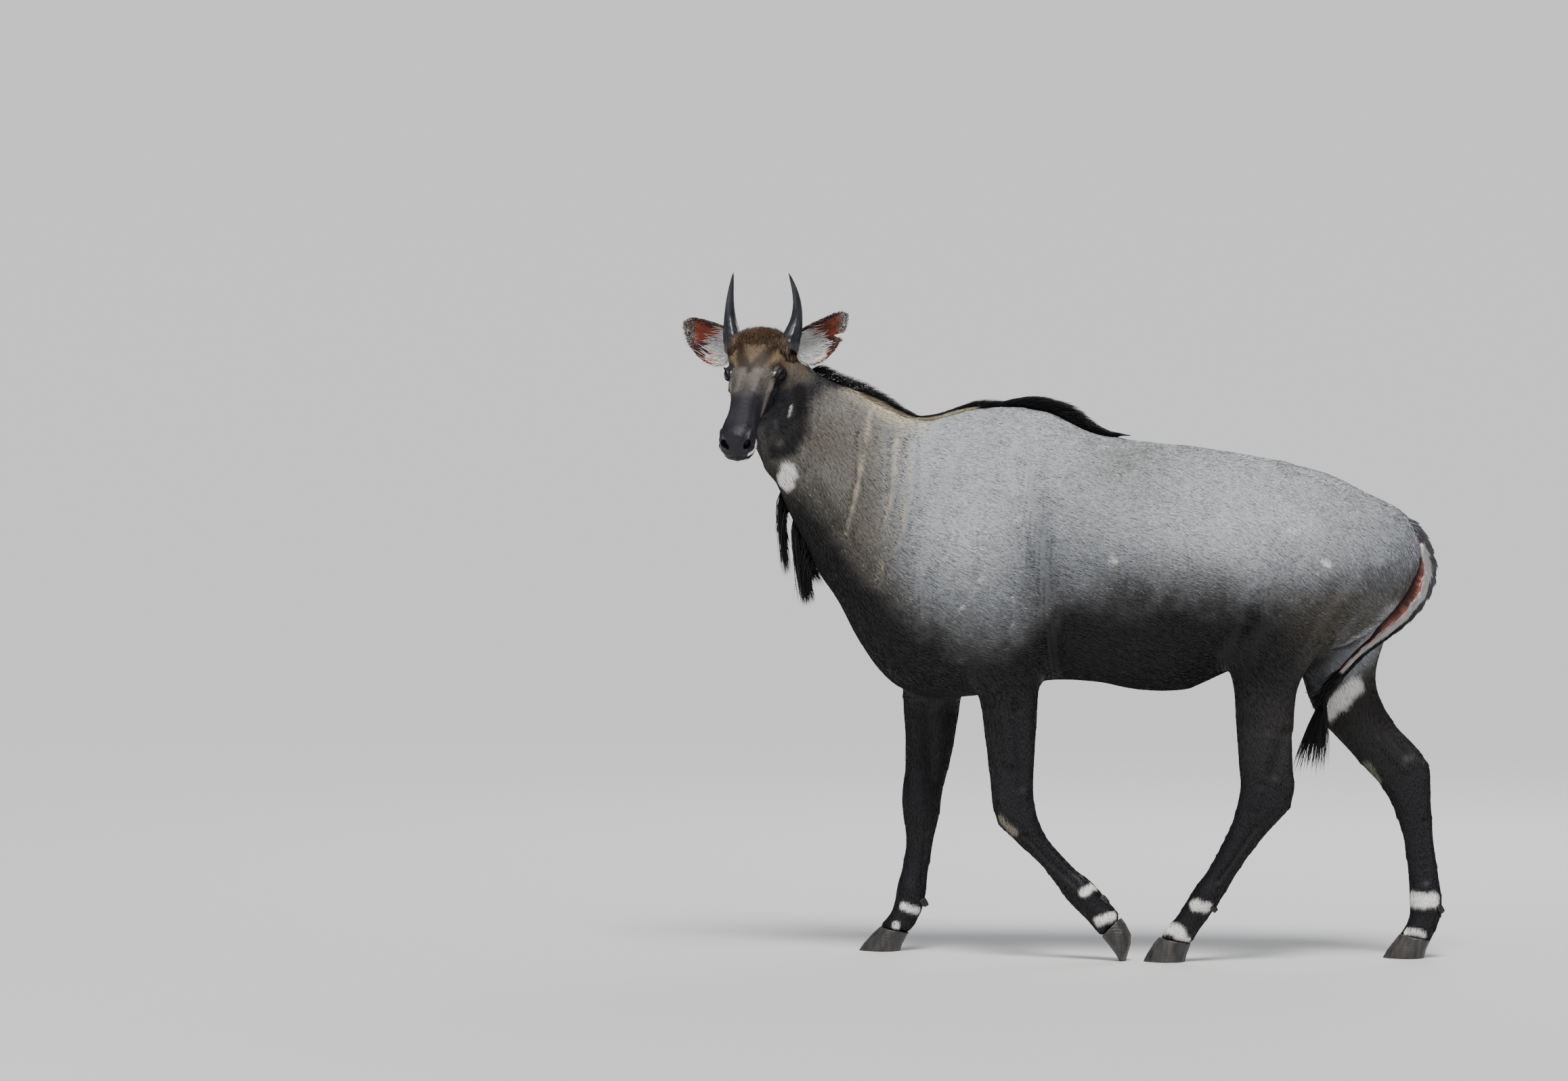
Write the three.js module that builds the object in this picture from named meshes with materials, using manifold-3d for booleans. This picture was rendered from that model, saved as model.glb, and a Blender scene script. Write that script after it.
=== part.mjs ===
// Nilgai bull, standing: a life-size still model in millimetres, +Z up.
// The body faces -X with its left side towards -Y, and the head is turned to its left.
import * as THREE from "three";
import { mergeVertices } from "three/addons/utils/BufferGeometryUtils.js";
import Module from "manifold-3d";

const wasm = await Module();
wasm.setup();

// Fineness
const TORSO_SIDES = 28;
const TORSO_RINGS = 29;
const NECK_SIDES = 24;
const NECK_RINGS = 12;
const LEG_SIDES = 14;
const LEG_RINGS = 23;
const HEAD_SIDES = 24;
const HEAD_RINGS = 24;
const GAP = 0.3;

// Head pose: turned from straight ahead, and nodded down
const HEAD_TURN = THREE.MathUtils.degToRad(86);
const HEAD_NOD = THREE.MathUtils.degToRad(34);
const BETWEEN_EYES = new THREE.Vector3(-756, -150, 1458);

// Back line, belly line and half width of the trunk at places along X: [x, top, belly, half width, top pinch]
const TRUNK = [
  [-628, 1010, 965, 26, 0.1],
  [-600, 1080, 925, 74, 0.1],
  [-560, 1150, 868, 118, 0.12],
  [-500, 1240, 760, 152, 0.2],
  [-430, 1318, 676, 178, 0.3],
  [-342, 1346, 642, 196, 0.42],
  [-205, 1378, 648, 212, 0.5],
  [-100, 1382, 672, 222, 0.52],
  [-20, 1366, 692, 226, 0.46],
  [68, 1317, 690, 230, 0.34],
  [188, 1297, 668, 234, 0.26],
  [290, 1290, 664, 234, 0.22],
  [400, 1276, 708, 226, 0.22],
  [530, 1254, 756, 214, 0.24],
  [668, 1219, 770, 208, 0.26],
  [760, 1174, 806, 190, 0.28],
  [830, 1142, 866, 158, 0.26],
  [880, 1100, 934, 108, 0.2],
  [904, 1050, 986, 50, 0.1],
];

// Soft muscle forms on the trunk: [x, height, reach, rise], on both sides
const TRUNK_FORMS = [
  [-240, 1080, 130, 12],
  [-150, 880, 120, 16],
  [-10, 1010, 90, -10],
  [180, 960, 200, 6],
  [455, 1090, 95, -15],
  [585, 1175, 62, 12],
  [690, 960, 150, 12],
  [600, 850, 110, 22],
  [-130, 780, 100, 16],
  [-340, 780, 90, 8],
];

// Neck: [x, y, z, to the nape, to the throat, half width]
const NECK = [
  [-300, 0, 990, 300, 200, 176],
  [-471, 0, 1151, 248, 226, 142],
  [-575, -6, 1241, 196, 182, 108],
  [-665, -24, 1346, 142, 138, 84],
  [-708, -58, 1420, 108, 118, 72],
  [-728, -88, 1470, 66, 84, 58],
];

// Head along its own length from between the eyes: [place, top, underside, half width]
const HEAD = [
  [-172, 20, -40, 22],
  [-160, 32, -70, 46],
  [-138, 42, -100, 60],
  [-105, 54, -122, 70],
  [-60, 62, -126, 75],
  [-20, 61, -116, 76],
  [12, 55, -104, 71],
  [55, 47, -94, 57],
  [108, 38, -84, 46],
  [160, 31, -78, 40],
  [205, 27, -80, 44],
  [240, 22, -84, 49],
  [264, 10, -77, 46],
  [276, -6, -60, 32],
  [279, -16, -40, 10],
];

// Legs: [height, place along X, half length, half width]
const LEFT_FORE = [
  [850, -150, 136, 54],
  [780, -138, 116, 62],
  [705, -123, 89, 62],
  [603, -118, 74, 50],
  [501, -115, 62, 41],
  [420, -113, 54, 36],
  [365, -106, 52, 38],
  [343, -98, 53, 37],
  [298, -62, 42, 30],
  [231, 3, 38, 26],
  [188, 46, 48, 31],
  [146, 79, 51, 32],
  [110, 114, 47, 30],
  [75, 142, 42, 36],
  [50, 154, 33, 37],
  [26, 161, 20, 33],
  [0, 165, 7, 20],
];
const RIGHT_FORE = [
  [850, -330, 110, 66],
  [760, -340, 96, 66],
  [652, -347, 83, 58],
  [537, -352, 67, 45],
  [450, -361, 56, 38],
  [384, -374, 50, 39],
  [345, -374, 46, 37],
  [305, -375, 38, 30],
  [255, -380, 34, 26],
  [205, -389, 34, 27],
  [150, -399, 39, 33],
  [112, -405, 37, 30],
  [84, -417, 39, 30],
  [58, -438, 43, 35],
  [28, -464, 48, 38],
  [0, -480, 54, 40],
];
const LEFT_HIND = [
  [985, 642, 186, 56],
  [900, 620, 170, 78],
  [820, 578, 138, 86],
  [744, 534, 104, 82],
  [676, 524, 84, 66],
  [583, 524, 77, 54],
  [489, 526, 71, 42],
  [439, 531, 70, 37],
  [404, 526, 71, 38],
  [370, 507, 60, 37],
  [336, 487, 52, 32],
  [285, 454, 43, 28],
  [234, 422, 39, 27],
  [166, 376, 43, 33],
  [132, 356, 40, 30],
  [97, 330, 41, 30],
  [66, 305, 45, 34],
  [40, 287, 48, 38],
  [0, 268, 54, 39],
];
const RIGHT_HIND = [
  [985, 650, 178, 56],
  [900, 660, 164, 78],
  [791, 676, 124, 84],
  [698, 681, 98, 68],
  [605, 717, 97, 54],
  [550, 767, 95, 48],
  [500, 815, 96, 40],
  [462, 837, 80, 37],
  [428, 854, 64, 36],
  [386, 866, 51, 32],
  [343, 875, 43, 28],
  [280, 887, 38, 26],
  [220, 895, 38, 28],
  [157, 903, 40, 33],
  [114, 904, 40, 30],
  [84, 895, 40, 30],
  [58, 880, 44, 35],
  [30, 860, 48, 38],
  [0, 846, 54, 39],
];
const FORE_SPREAD = [112, 94];
const HIND_SPREAD = [114, 100];

// Horns, ears, eyes
const HORN_BASE = { back: -94, side: 70, up: 22 };
const HORN_RISE = 188;
const HORN_BOW = 17;
const HORN_THICK = [
  [0, 27],
  [0.12, 26],
  [0.3, 19],
  [0.5, 13],
  [0.75, 7.5],
  [0.93, 3],
  [1, 0.8],
];
const EAR_ROOT = { back: -112, side: 62, up: 22 };
const EAR_LENGTH = 152;
const EAR_HALF_WIDTH = 56;
const EAR_SHAPE = [
  [0, 0.34],
  [0.12, 0.5],
  [0.3, 0.86],
  [0.5, 1],
  [0.7, 0.96],
  [0.86, 0.74],
  [0.95, 0.46],
  [1, 0.12],
];
const EAR_LIFT = { left: 66, right: 42 };
const EAR_BELOW = 1.25;
const EAR_ABOVE = 0.62;
const EYE_RADIUS = 20;
const EYE_AT = { ahead: -2, side: 59, up: 2 };
const LID_RADIUS = 23.5;

// Tail, along the midline: [x, z, half width, half thickness]
const TAIL = [
  [838, 1112, 26, 26],
  [880, 1072, 27, 22],
  [908, 1025, 27, 18],
  [920, 980, 26, 16],
  [908, 925, 24, 15],
  [866, 866, 22, 14],
  [808, 818, 19, 13],
  [757, 779, 15, 12],
  [704, 724, 12, 11],
  [664, 672, 10, 10],
  [638, 622, 9, 9],
];

// Manes along the midline of the back: [x, height of the hair over the skin]
const NAPE_MANE = [
  [-612, 8],
  [-570, 20],
  [-500, 20],
  [-430, 12],
  [-330, 7],
  [-250, 12],
  [-212, 9],
];
const WITHERS_MANE = [
  [-186, 6],
  [-140, 18],
  [-60, 24],
  [30, 22],
  [110, 12],
  [186, 5],
];
const MANE_LOCK = { length: 52, width: 18, thick: 7, step: 39 };
// Beard, along the front of the neck: how far down the neck it starts and ends
const BEARD = { from: 0.415, to: 0.255, locks: 11, width: 17, thick: 9 };
const BEARD_LENGTHS = [
  [0.255, 90],
  [0.29, 150],
  [0.325, 190],
  [0.355, 150],
  [0.375, 100],
  [0.4, 160],
  [0.415, 110],
];
const TASSEL = { locks: 10, length: 150, width: 15, thick: 8 };

function vec(x, y, z) {
  return new THREE.Vector3(x, y, z);
}

// Value of each column of a table at a place along its first column, smooth and without overshoot
function along(rows, at) {
  const down = rows[0][0] > rows[rows.length - 1][0];
  const list = down ? [...rows].reverse() : rows;
  const last = list.length - 1;
  if (at <= list[0][0]) return list[0].slice(1);
  if (at >= list[last][0]) return list[last].slice(1);
  let i = 0;
  while (list[i + 1][0] < at) i++;
  const width = list[i + 1][0] - list[i][0];
  const t = (at - list[i][0]) / width;
  const slope = (j, column) => {
    const one = (k) => (list[k + 1][column] - list[k][column]) / (list[k + 1][0] - list[k][0]);
    if (j === 0) return one(0);
    if (j === last) return one(last - 1);
    const before = one(j - 1);
    const after = one(j);
    if (before * after <= 0) return 0;
    return (2 * before * after) / (before + after);
  };
  const out = [];
  for (let column = 1; column < list[0].length; column++) {
    const a = list[i][column];
    const b = list[i + 1][column];
    const m0 = slope(i, column) * width;
    const m1 = slope(i + 1, column) * width;
    const t2 = t * t;
    const t3 = t2 * t;
    out.push((2 * t3 - 3 * t2 + 1) * a + (t3 - 2 * t2 + t) * m0 + (3 * t2 - 2 * t3) * b + (t3 - t2) * m1);
  }
  return out;
}

// Solid from a geometry, whichever way its faces were wound
function solid(geometry) {
  const bare = geometry.clone();
  bare.deleteAttribute("normal");
  bare.deleteAttribute("uv");
  const merged = mergeVertices(bare, 1e-3);
  const triVerts = new Uint32Array(merged.index.array);
  const vertProperties = new Float32Array(merged.attributes.position.array);
  const made = new wasm.Manifold(new wasm.Mesh({ numProp: 3, vertProperties, triVerts }));
  if (made.volume() > 0) return made;
  for (let i = 0; i < triVerts.length; i += 3) {
    const kept = triVerts[i + 1];
    triVerts[i + 1] = triVerts[i + 2];
    triVerts[i + 2] = kept;
  }
  return new wasm.Manifold(new wasm.Mesh({ numProp: 3, vertProperties, triVerts }));
}

// Closed body through rings of points, its two ends closed to their middles
function loft(rings) {
  const sides = rings[0].length;
  const points = [];
  for (const ring of rings) {
    for (const p of ring) points.push(p.x, p.y, p.z);
  }
  const faces = [];
  for (let r = 0; r + 1 < rings.length; r++) {
    for (let k = 0; k < sides; k++) {
      const a = r * sides + k;
      const b = r * sides + ((k + 1) % sides);
      faces.push(a, b, b + sides, a, b + sides, a + sides);
    }
  }
  for (const end of [0, rings.length - 1]) {
    const middle = vec(0, 0, 0);
    for (const p of rings[end]) middle.addScaledVector(p, 1 / sides);
    const centre = points.length / 3;
    points.push(middle.x, middle.y, middle.z);
    for (let k = 0; k < sides; k++) {
      const a = end * sides + k;
      const b = end * sides + ((k + 1) % sides);
      if (end === 0) faces.push(centre, b, a);
      else faces.push(centre, a, b);
    }
  }
  const g = new THREE.BufferGeometry();
  g.setAttribute("position", new THREE.Float32BufferAttribute(points, 3));
  g.setIndex(faces);
  return solid(g);
}

function moved(geometry, matrix) {
  return solid(geometry.applyMatrix4(matrix));
}

// Tapered body along a curve: size(t) gives the half width along side and the half thickness across it
function sweep(curve, steps, sides, side, size) {
  const rings = [];
  for (let i = 0; i <= steps; i++) {
    const t = i / steps;
    const middle = curve.getPointAt(t);
    const ahead = curve.getTangentAt(t);
    const across = side.clone().addScaledVector(ahead, -side.dot(ahead)).normalize();
    const up = ahead.clone().cross(across);
    const [wide, thick] = size(t);
    const ring = [];
    for (let k = 0; k < sides; k++) {
      const angle = (k / sides) * Math.PI * 2;
      ring.push(
        middle
          .clone()
          .addScaledVector(across, Math.cos(angle) * wide)
          .addScaledVector(up, Math.sin(angle) * thick),
      );
    }
    rings.push(ring);
  }
  return loft(rings);
}

// Flat slab for a thin cut: its middle, the direction through it, and its two breadths
function slab(middle, through, breadthA, breadthB, hint = vec(0, 1, 0)) {
  const n = through.clone().normalize();
  const a = hint.clone().addScaledVector(n, -hint.dot(n)).normalize();
  const b = n.clone().cross(a);
  const m = new THREE.Matrix4().makeBasis(a, b, n).setPosition(middle);
  return moved(new THREE.BoxGeometry(breadthA, breadthB, GAP), m);
}

function largest(made) {
  const bodies = made.decompose();
  let best = bodies[0];
  for (const b of bodies) {
    if (b.volume() > best.volume()) best = b;
  }
  return best;
}

function middleOf(made) {
  const box = made.boundingBox();
  return vec(
    (box.min[0] + box.max[0]) / 2,
    (box.min[1] + box.max[1]) / 2,
    (box.min[2] + box.max[2]) / 2,
  );
}

// Trunk
function trunk() {
  const first = TRUNK[0][0];
  const last = TRUNK[TRUNK.length - 1][0];
  const rings = [];
  for (let i = 0; i <= TORSO_RINGS; i++) {
    const t = i / TORSO_RINGS;
    const eased = t + 0.06 * Math.sin(2 * Math.PI * t) * -1;
    const x = first + (last - first) * eased;
    const [top, belly, half, pinch] = along(TRUNK, x);
    const waist = belly + (top - belly) * 0.47;
    const ring = [];
    for (let k = 0; k < TORSO_SIDES; k++) {
      const angle = (k / TORSO_SIDES) * Math.PI * 2;
      const c = Math.cos(angle);
      const s = Math.sin(angle);
      const narrow = 1 - pinch * Math.pow(Math.max(0, s), 1.6);
      const full = Math.sign(c) * Math.pow(Math.abs(c), 0.86) * half * narrow;
      const z = waist + s * (s > 0 ? top - waist : waist - belly);
      let rise = 0;
      for (const [fx, fz, reach, height] of TRUNK_FORMS) {
        const d2 = (x - fx) ** 2 + (z - fz) ** 2;
        rise += height * Math.exp(-d2 / (reach * reach));
      }
      ring.push(vec(x, full + rise * c, z));
    }
    rings.push(ring);
  }
  return loft(rings);
}

// Neck
function neckCurve() {
  return new THREE.CatmullRomCurve3(NECK.map(([x, y, z]) => vec(x, y, z)));
}
function neckRing(t) {
  const curve = neckCurve();
  const middle = curve.getPoint(t);
  const ahead = curve.getTangent(t);
  const side = vec(0, 1, 0).addScaledVector(ahead, -ahead.y).normalize();
  const up = ahead.clone().cross(side).multiplyScalar(-1);
  if (up.z < 0) up.negate();
  const sizes = NECK.map((row, i) => [i / (NECK.length - 1), row[3], row[4], row[5]]);
  const [nape, throat, half] = along(sizes, t);
  return { middle, ahead, side, up, nape, throat, half };
}
function neck() {
  const rings = [];
  for (let i = 0; i <= NECK_RINGS; i++) {
    const { middle, side, up, nape, throat, half } = neckRing(i / NECK_RINGS);
    const ring = [];
    for (let k = 0; k < NECK_SIDES; k++) {
      const angle = (k / NECK_SIDES) * Math.PI * 2;
      const c = Math.cos(angle);
      const s = Math.sin(angle);
      const narrow = 1 - 0.24 * Math.pow(Math.max(0, s), 2) - 0.1 * Math.pow(Math.max(0, -s), 2);
      ring.push(
        middle
          .clone()
          .addScaledVector(side, c * half * narrow)
          .addScaledVector(up, s > 0 ? s * nape : s * throat),
      );
    }
    rings.push(ring);
  }
  return loft(rings);
}

// Head frame: ahead along the face, its left, and up out of the forehead
const level = vec(-Math.cos(HEAD_TURN), -Math.sin(HEAD_TURN), 0);
const HEAD_AHEAD = level
  .clone()
  .multiplyScalar(Math.cos(HEAD_NOD))
  .addScaledVector(vec(0, 0, 1), -Math.sin(HEAD_NOD));
const HEAD_LEFT = vec(0, 0, 1).cross(level);
const HEAD_UP = HEAD_AHEAD.clone().cross(HEAD_LEFT);
function onHead(ahead, left, up) {
  return BETWEEN_EYES.clone()
    .addScaledVector(HEAD_AHEAD, ahead)
    .addScaledVector(HEAD_LEFT, left)
    .addScaledVector(HEAD_UP, up);
}
const HEAD_MATRIX = new THREE.Matrix4()
  .makeBasis(HEAD_AHEAD, HEAD_LEFT, HEAD_UP)
  .setPosition(BETWEEN_EYES);

function headLoft(grow) {
  const first = HEAD[0][0];
  const last = HEAD[HEAD.length - 1][0];
  const rings = [];
  for (let i = 0; i <= HEAD_RINGS; i++) {
    const t = i / HEAD_RINGS;
    const place = first + (last - first) * (t - 0.07 * Math.sin(2 * Math.PI * t));
    const [top, under, half] = along(HEAD, place);
    const waist = under + (top - under) * 0.56;
    const brow = 10 * Math.exp(-(((place - 2) / 26) ** 2));
    const hollow = 7 * Math.exp(-(((place - 62) / 34) ** 2));
    const cheek = 9 * Math.exp(-(((place + 62) / 48) ** 2));
    const ring = [];
    for (let k = 0; k < HEAD_SIDES; k++) {
      const angle = (k / HEAD_SIDES) * Math.PI * 2;
      const c = Math.cos(angle);
      const s = Math.sin(angle);
      const square = Math.pow(Math.abs(c), 0.8);
      const full = Math.min(1, Math.max(0, (place - 120) / 90));
      const under2 = 1 - (0.42 - 0.24 * full) * Math.pow(Math.max(0, -s), 1.5);
      let out = Math.sign(c) * square * half * under2;
      const high = Math.exp(-(((s - 0.45) / 0.3) ** 2));
      const low = Math.exp(-(((s + 0.35) / 0.34) ** 2));
      out += Math.sign(c) * (brow * high - hollow * high + cheek * low) * (Math.abs(c) > 0.2 ? 1 : 0);
      const rise = waist + (s > 0 ? s * (top - waist) : s * (waist - under));
      const p = vec(place, out, rise);
      if (grow) {
        p.y -= Math.sign(c) * grow * Math.abs(c);
        p.z -= grow * s;
      }
      ring.push(p.applyMatrix4(HEAD_MATRIX));
    }
    rings.push(ring);
  }
  return loft(rings);
}

// Horn: from its base on the skull it leans back, bows outwards and comes forward to the tip
function horn(side, grow) {
  const base = onHead(HORN_BASE.back, side * HORN_BASE.side, HORN_BASE.up);
  const points = [];
  for (let i = 0; i <= 8; i++) {
    const t = i / 8;
    const bow = HORN_BOW * Math.sin(Math.PI * Math.pow(t, 0.95)) + 2 * t;
    const lean = -34 * Math.sin(Math.PI * t * 0.8) + 24 * t * t;
    points.push(
      base
        .clone()
        .addScaledVector(HEAD_LEFT, side * (bow - 2 * t))
        .addScaledVector(level, lean)
        .add(vec(0, 0, HORN_RISE * t)),
    );
  }
  const curve = new THREE.CatmullRomCurve3(points);
  return sweep(curve, 12, 10, HEAD_LEFT.clone(), (t) => {
    const [r] = along(HORN_THICK, t);
    return [r * 0.94 + grow, r * 1.06 + grow];
  });
}

// Ear: a rolled funnel at the root that opens into a broad leaf with its cup to the front
const EAR_STEPS = 9;
const EAR_SPANS = 6;
function ear(side) {
  const root = onHead(EAR_ROOT.back, side * EAR_ROOT.side, EAR_ROOT.up);
  const out = HEAD_LEFT.clone().multiplyScalar(side);
  const lift = side > 0 ? EAR_LIFT.left : EAR_LIFT.right;
  const length = out.clone().addScaledVector(level, -0.2).normalize();
  const front = level
    .clone()
    .addScaledVector(out, 0.25)
    .addScaledVector(length, -(level.dot(length) + 0.25 * out.dot(length)))
    .normalize();
  const down = vec(0, 0, -1);
  const face = [];
  const back = [];
  for (let i = 0; i <= EAR_STEPS; i++) {
    const u = i / EAR_STEPS;
    const [shape] = along(EAR_SHAPE, u);
    const open = THREE.MathUtils.degToRad(118 - 60 * Math.pow(u, 0.7));
    const r = (EAR_HALF_WIDTH * shape) / Math.sin(Math.min(open, Math.PI / 2));
    const thick = 5.5 - 2.5 * u;
    const sag = 12 * Math.sin(Math.PI * u);
    const base = root
      .clone()
      .addScaledVector(length, EAR_LENGTH * u)
      .addScaledVector(front, -sag)
      .addScaledVector(down, -lift * u * u);
    for (let k = 0; k <= EAR_SPANS; k++) {
      const v = (k / EAR_SPANS) * 2 - 1;
      const a = v * open;
      const edge = (thick * (1 - 0.55 * Math.abs(v) ** 3)) / 2;
      const breadth = v > 0 ? EAR_BELOW : EAR_ABOVE;
      const place = (radius) =>
        base
          .clone()
          .addScaledVector(down, Math.sin(a) * radius * breadth)
          .addScaledVector(front, r * Math.cos(open) - Math.cos(a) * radius);
      face.push(place(r - edge));
      back.push(place(r + edge));
    }
  }
  const whole = sheet(face, back, EAR_STEPS, EAR_SPANS);
  return side > 0 ? whole.subtract(earNotch()) : whole;
}

// Old tear in the outer edge of the left ear
function earNotch() {
  const s = new THREE.Shape();
  s.moveTo(100, 14);
  s.lineTo(150, 30);
  s.lineTo(150, 2);
  s.closePath();
  const g = new THREE.ExtrudeGeometry(s, { depth: 160, bevelEnabled: false });
  const root = onHead(EAR_ROOT.back, EAR_ROOT.side, EAR_ROOT.up).addScaledVector(level, -80);
  const m = new THREE.Matrix4().makeBasis(HEAD_LEFT, vec(0, 0, 1), level.clone()).setPosition(root);
  return moved(g, m);
}

// Closed body between two grids of points
function sheet(face, back, steps, spans) {
  const points = [];
  for (const p of [...face, ...back]) points.push(p.x, p.y, p.z);
  const row = spans + 1;
  const shift = face.length;
  const faces = [];
  for (let i = 0; i < steps; i++) {
    for (let k = 0; k < spans; k++) {
      const a = i * row + k;
      faces.push(a, a + 1, a + row + 1, a, a + row + 1, a + row);
      const b = a + shift;
      faces.push(b, b + row + 1, b + 1, b, b + row, b + row + 1);
    }
  }
  const rim = [];
  for (let k = 0; k < spans; k++) rim.push(k);
  for (let i = 0; i < steps; i++) rim.push(i * row + spans);
  for (let k = spans; k > 0; k--) rim.push(steps * row + k);
  for (let i = steps; i > 0; i--) rim.push(i * row);
  for (let j = 0; j < rim.length; j++) {
    const a = rim[j];
    const b = rim[(j + 1) % rim.length];
    faces.push(a, b + shift, b, a, a + shift, b + shift);
  }
  const g = new THREE.BufferGeometry();
  g.setAttribute("position", new THREE.Float32BufferAttribute(points, 3));
  g.setIndex(faces);
  return solid(g);
}

// Leg, drawn through level slices from the body down to the ground
function leg(rows, side, spread) {
  const top = rows[0][0];
  const rings = [];
  for (let i = 0; i <= LEG_RINGS; i++) {
    const t = i / LEG_RINGS;
    const z = top * Math.pow(1 - t, 1.25) - (i === LEG_RINGS ? 1.5 : 0);
    const [x, long, wide] = along(rows, Math.max(0, z));
    const y = side * (spread[1] + (spread[0] - spread[1]) * Math.min(1, Math.max(0, z) / 700));
    const hoof = Math.max(0, 1 - Math.max(0, z) / 60);
    const ring = [];
    for (let k = 0; k < LEG_SIDES; k++) {
      const angle = (k / LEG_SIDES) * Math.PI * 2;
      const c = Math.cos(angle);
      const s = Math.sin(angle);
      const toe = c < 0 ? 1 - 0.42 * hoof * c * c : 1 + 0.16 * hoof;
      ring.push(vec(x + c * long, y + Math.sign(s) * Math.pow(Math.abs(s), 0.9) * wide * toe, z));
    }
    rings.push(ring);
  }
  return loft(rings);
}

// Dewclaw: a short blunt cone behind the fetlock
function dewclaw(place, side, lean, grow) {
  const curve = new THREE.LineCurve3(
    vec(place[0] - (12 + grow) * lean, side, place[1] + 14 + grow),
    vec(place[0] + (15 + grow) * lean, side, place[1] - 18 - grow),
  );
  return sweep(curve, 2, 6, vec(0, 1, 0), (t) => [(10 - 4.5 * t * t) + grow, (9 - 4 * t * t) + grow]);
}

// Even numbers from 0 to 1, the same at every run
function seeded(seed) {
  let state = seed;
  return () => {
    state = (state * 1664525 + 1013904223) % 4294967296;
    return state / 4294967296;
  };
}

// One lock of hair: flat and tapered, sunk at its root, bending from `out` over to `lie`
function lock(root, out, lie, size) {
  const { length, width, thick, sink, start, end, sway } = size;
  const side = out.clone().cross(lie).normalize();
  const rings = [];
  const towards = (t) => {
    const a = start + (end - start) * t;
    return out.clone().multiplyScalar(Math.cos(a)).addScaledVector(lie, Math.sin(a));
  };
  const spine = [root.clone().addScaledVector(towards(0), -sink)];
  let at = root.clone();
  for (const t of [0.17, 0.5, 0.83]) {
    at = at.clone().addScaledVector(towards(t), length / 3).addScaledVector(side, (sway * t) / 1.5);
    spine.push(at);
  }
  const wide = [0.8, 1, 0.72, 0.1];
  spine.forEach((middle, i) => {
    const before = spine[Math.max(0, i - 1)];
    const after = spine[Math.min(3, i + 1)];
    const ahead = after.clone().sub(before).normalize();
    const across = side.clone().addScaledVector(ahead, -side.dot(ahead)).normalize();
    const flat = ahead.clone().cross(across);
    const w = (width / 2) * wide[i];
    const h = Math.max(0.5, (thick / 2) * wide[i]);
    rings.push([
      middle.clone().addScaledVector(across, w),
      middle.clone().addScaledVector(flat, h),
      middle.clone().addScaledVector(across, -w),
      middle.clone().addScaledVector(flat, -h),
    ]);
  });
  return loft(rings);
}

// Skin on the midline of the back at x, from the neck or the trunk, whichever is higher
const napeLine = [];
for (let i = 0; i <= 60; i++) {
  const { middle, up, nape } = neckRing(i / 60);
  const p = middle.clone().addScaledVector(up, nape);
  napeLine.push([p.x, p.z, p.y]);
}
napeLine.sort((a, b) => a[0] - b[0]);
function backAt(x) {
  const [neckZ, neckY] = along(napeLine, x);
  const trunkZ = along(TRUNK, x)[0];
  const onNeck = x < napeLine[napeLine.length - 1][0] && neckZ > trunkZ;
  return onNeck ? vec(x, neckY, neckZ) : vec(x, 0, trunkZ);
}

// Low ridge of packed hair inside a mane, up to half the height of its locks
function maneCore(heights) {
  const first = heights[0][0] + 10;
  const last = heights[heights.length - 1][0] - 4;
  const points = [];
  const sizes = [];
  for (let i = 0; i <= 10; i++) {
    const x = first + ((last - first) * i) / 10;
    const half = along(heights, x)[0] * 0.5;
    points.push(backAt(x).add(vec(0, 0, half / 2 - 6)));
    sizes.push([i / 10, half / 2 + 6]);
  }
  const curve = new THREE.CatmullRomCurve3(points);
  return sweep(curve, 10, 6, vec(0, 1, 0), (t) => [9, along(sizes, t)[0]]);
}

// Locks of a mane in two staggered rows, each laid back over the next
function maneLocks(heights, seed) {
  const random = seeded(seed);
  const list = [];
  const first = heights[0][0];
  const last = heights[heights.length - 1][0];
  let row = 0;
  for (let x = first; x <= last; x += MANE_LOCK.step / 2) {
    row = 1 - row;
    const [height] = along(heights, x);
    const here = backAt(x);
    const lie = backAt(x + 12).sub(backAt(x - 12)).normalize();
    const out = vec(-lie.z, 0, lie.x);
    const root = here.clone().add(vec(0, row ? 5 : -5, -2));
    const long = MANE_LOCK.length * (0.85 + 0.3 * random());
    const lean = Math.acos(Math.min(0.9, (height * (0.9 + 0.3 * random())) / long));
    list.push(
      lock(root, out, lie, {
        length: long,
        width: MANE_LOCK.width,
        thick: MANE_LOCK.thick,
        sink: 16,
        start: Math.max(0.35, lean - 0.3),
        end: lean + 0.24,
        sway: (random() - 0.5) * 6,
      }),
    );
  }
  return list;
}

// Locks of the beard hang from the front of the neck
function beardLocks(seed) {
  const random = seeded(seed);
  const list = [];
  for (let i = 0; i < BEARD.locks; i++) {
    const t = BEARD.from + ((BEARD.to - BEARD.from) * i) / (BEARD.locks - 1);
    const { middle, up, throat } = neckRing(t);
    const front = up.clone().negate();
    const root = middle.clone().addScaledVector(front, throat - 6);
    root.y += [0, -9, 9][i % 3];
    const length = along(BEARD_LENGTHS, t)[0] * (0.9 + 0.2 * random());
    list.push(
      lock(root, front, vec(0.16, 0, -1).normalize(), {
        length,
        width: BEARD.width,
        thick: BEARD.thick,
        sink: 14,
        start: 0.95,
        end: 1.62,
        sway: (random() - 0.5) * 16,
      }),
    );
  }
  return list;
}

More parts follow.
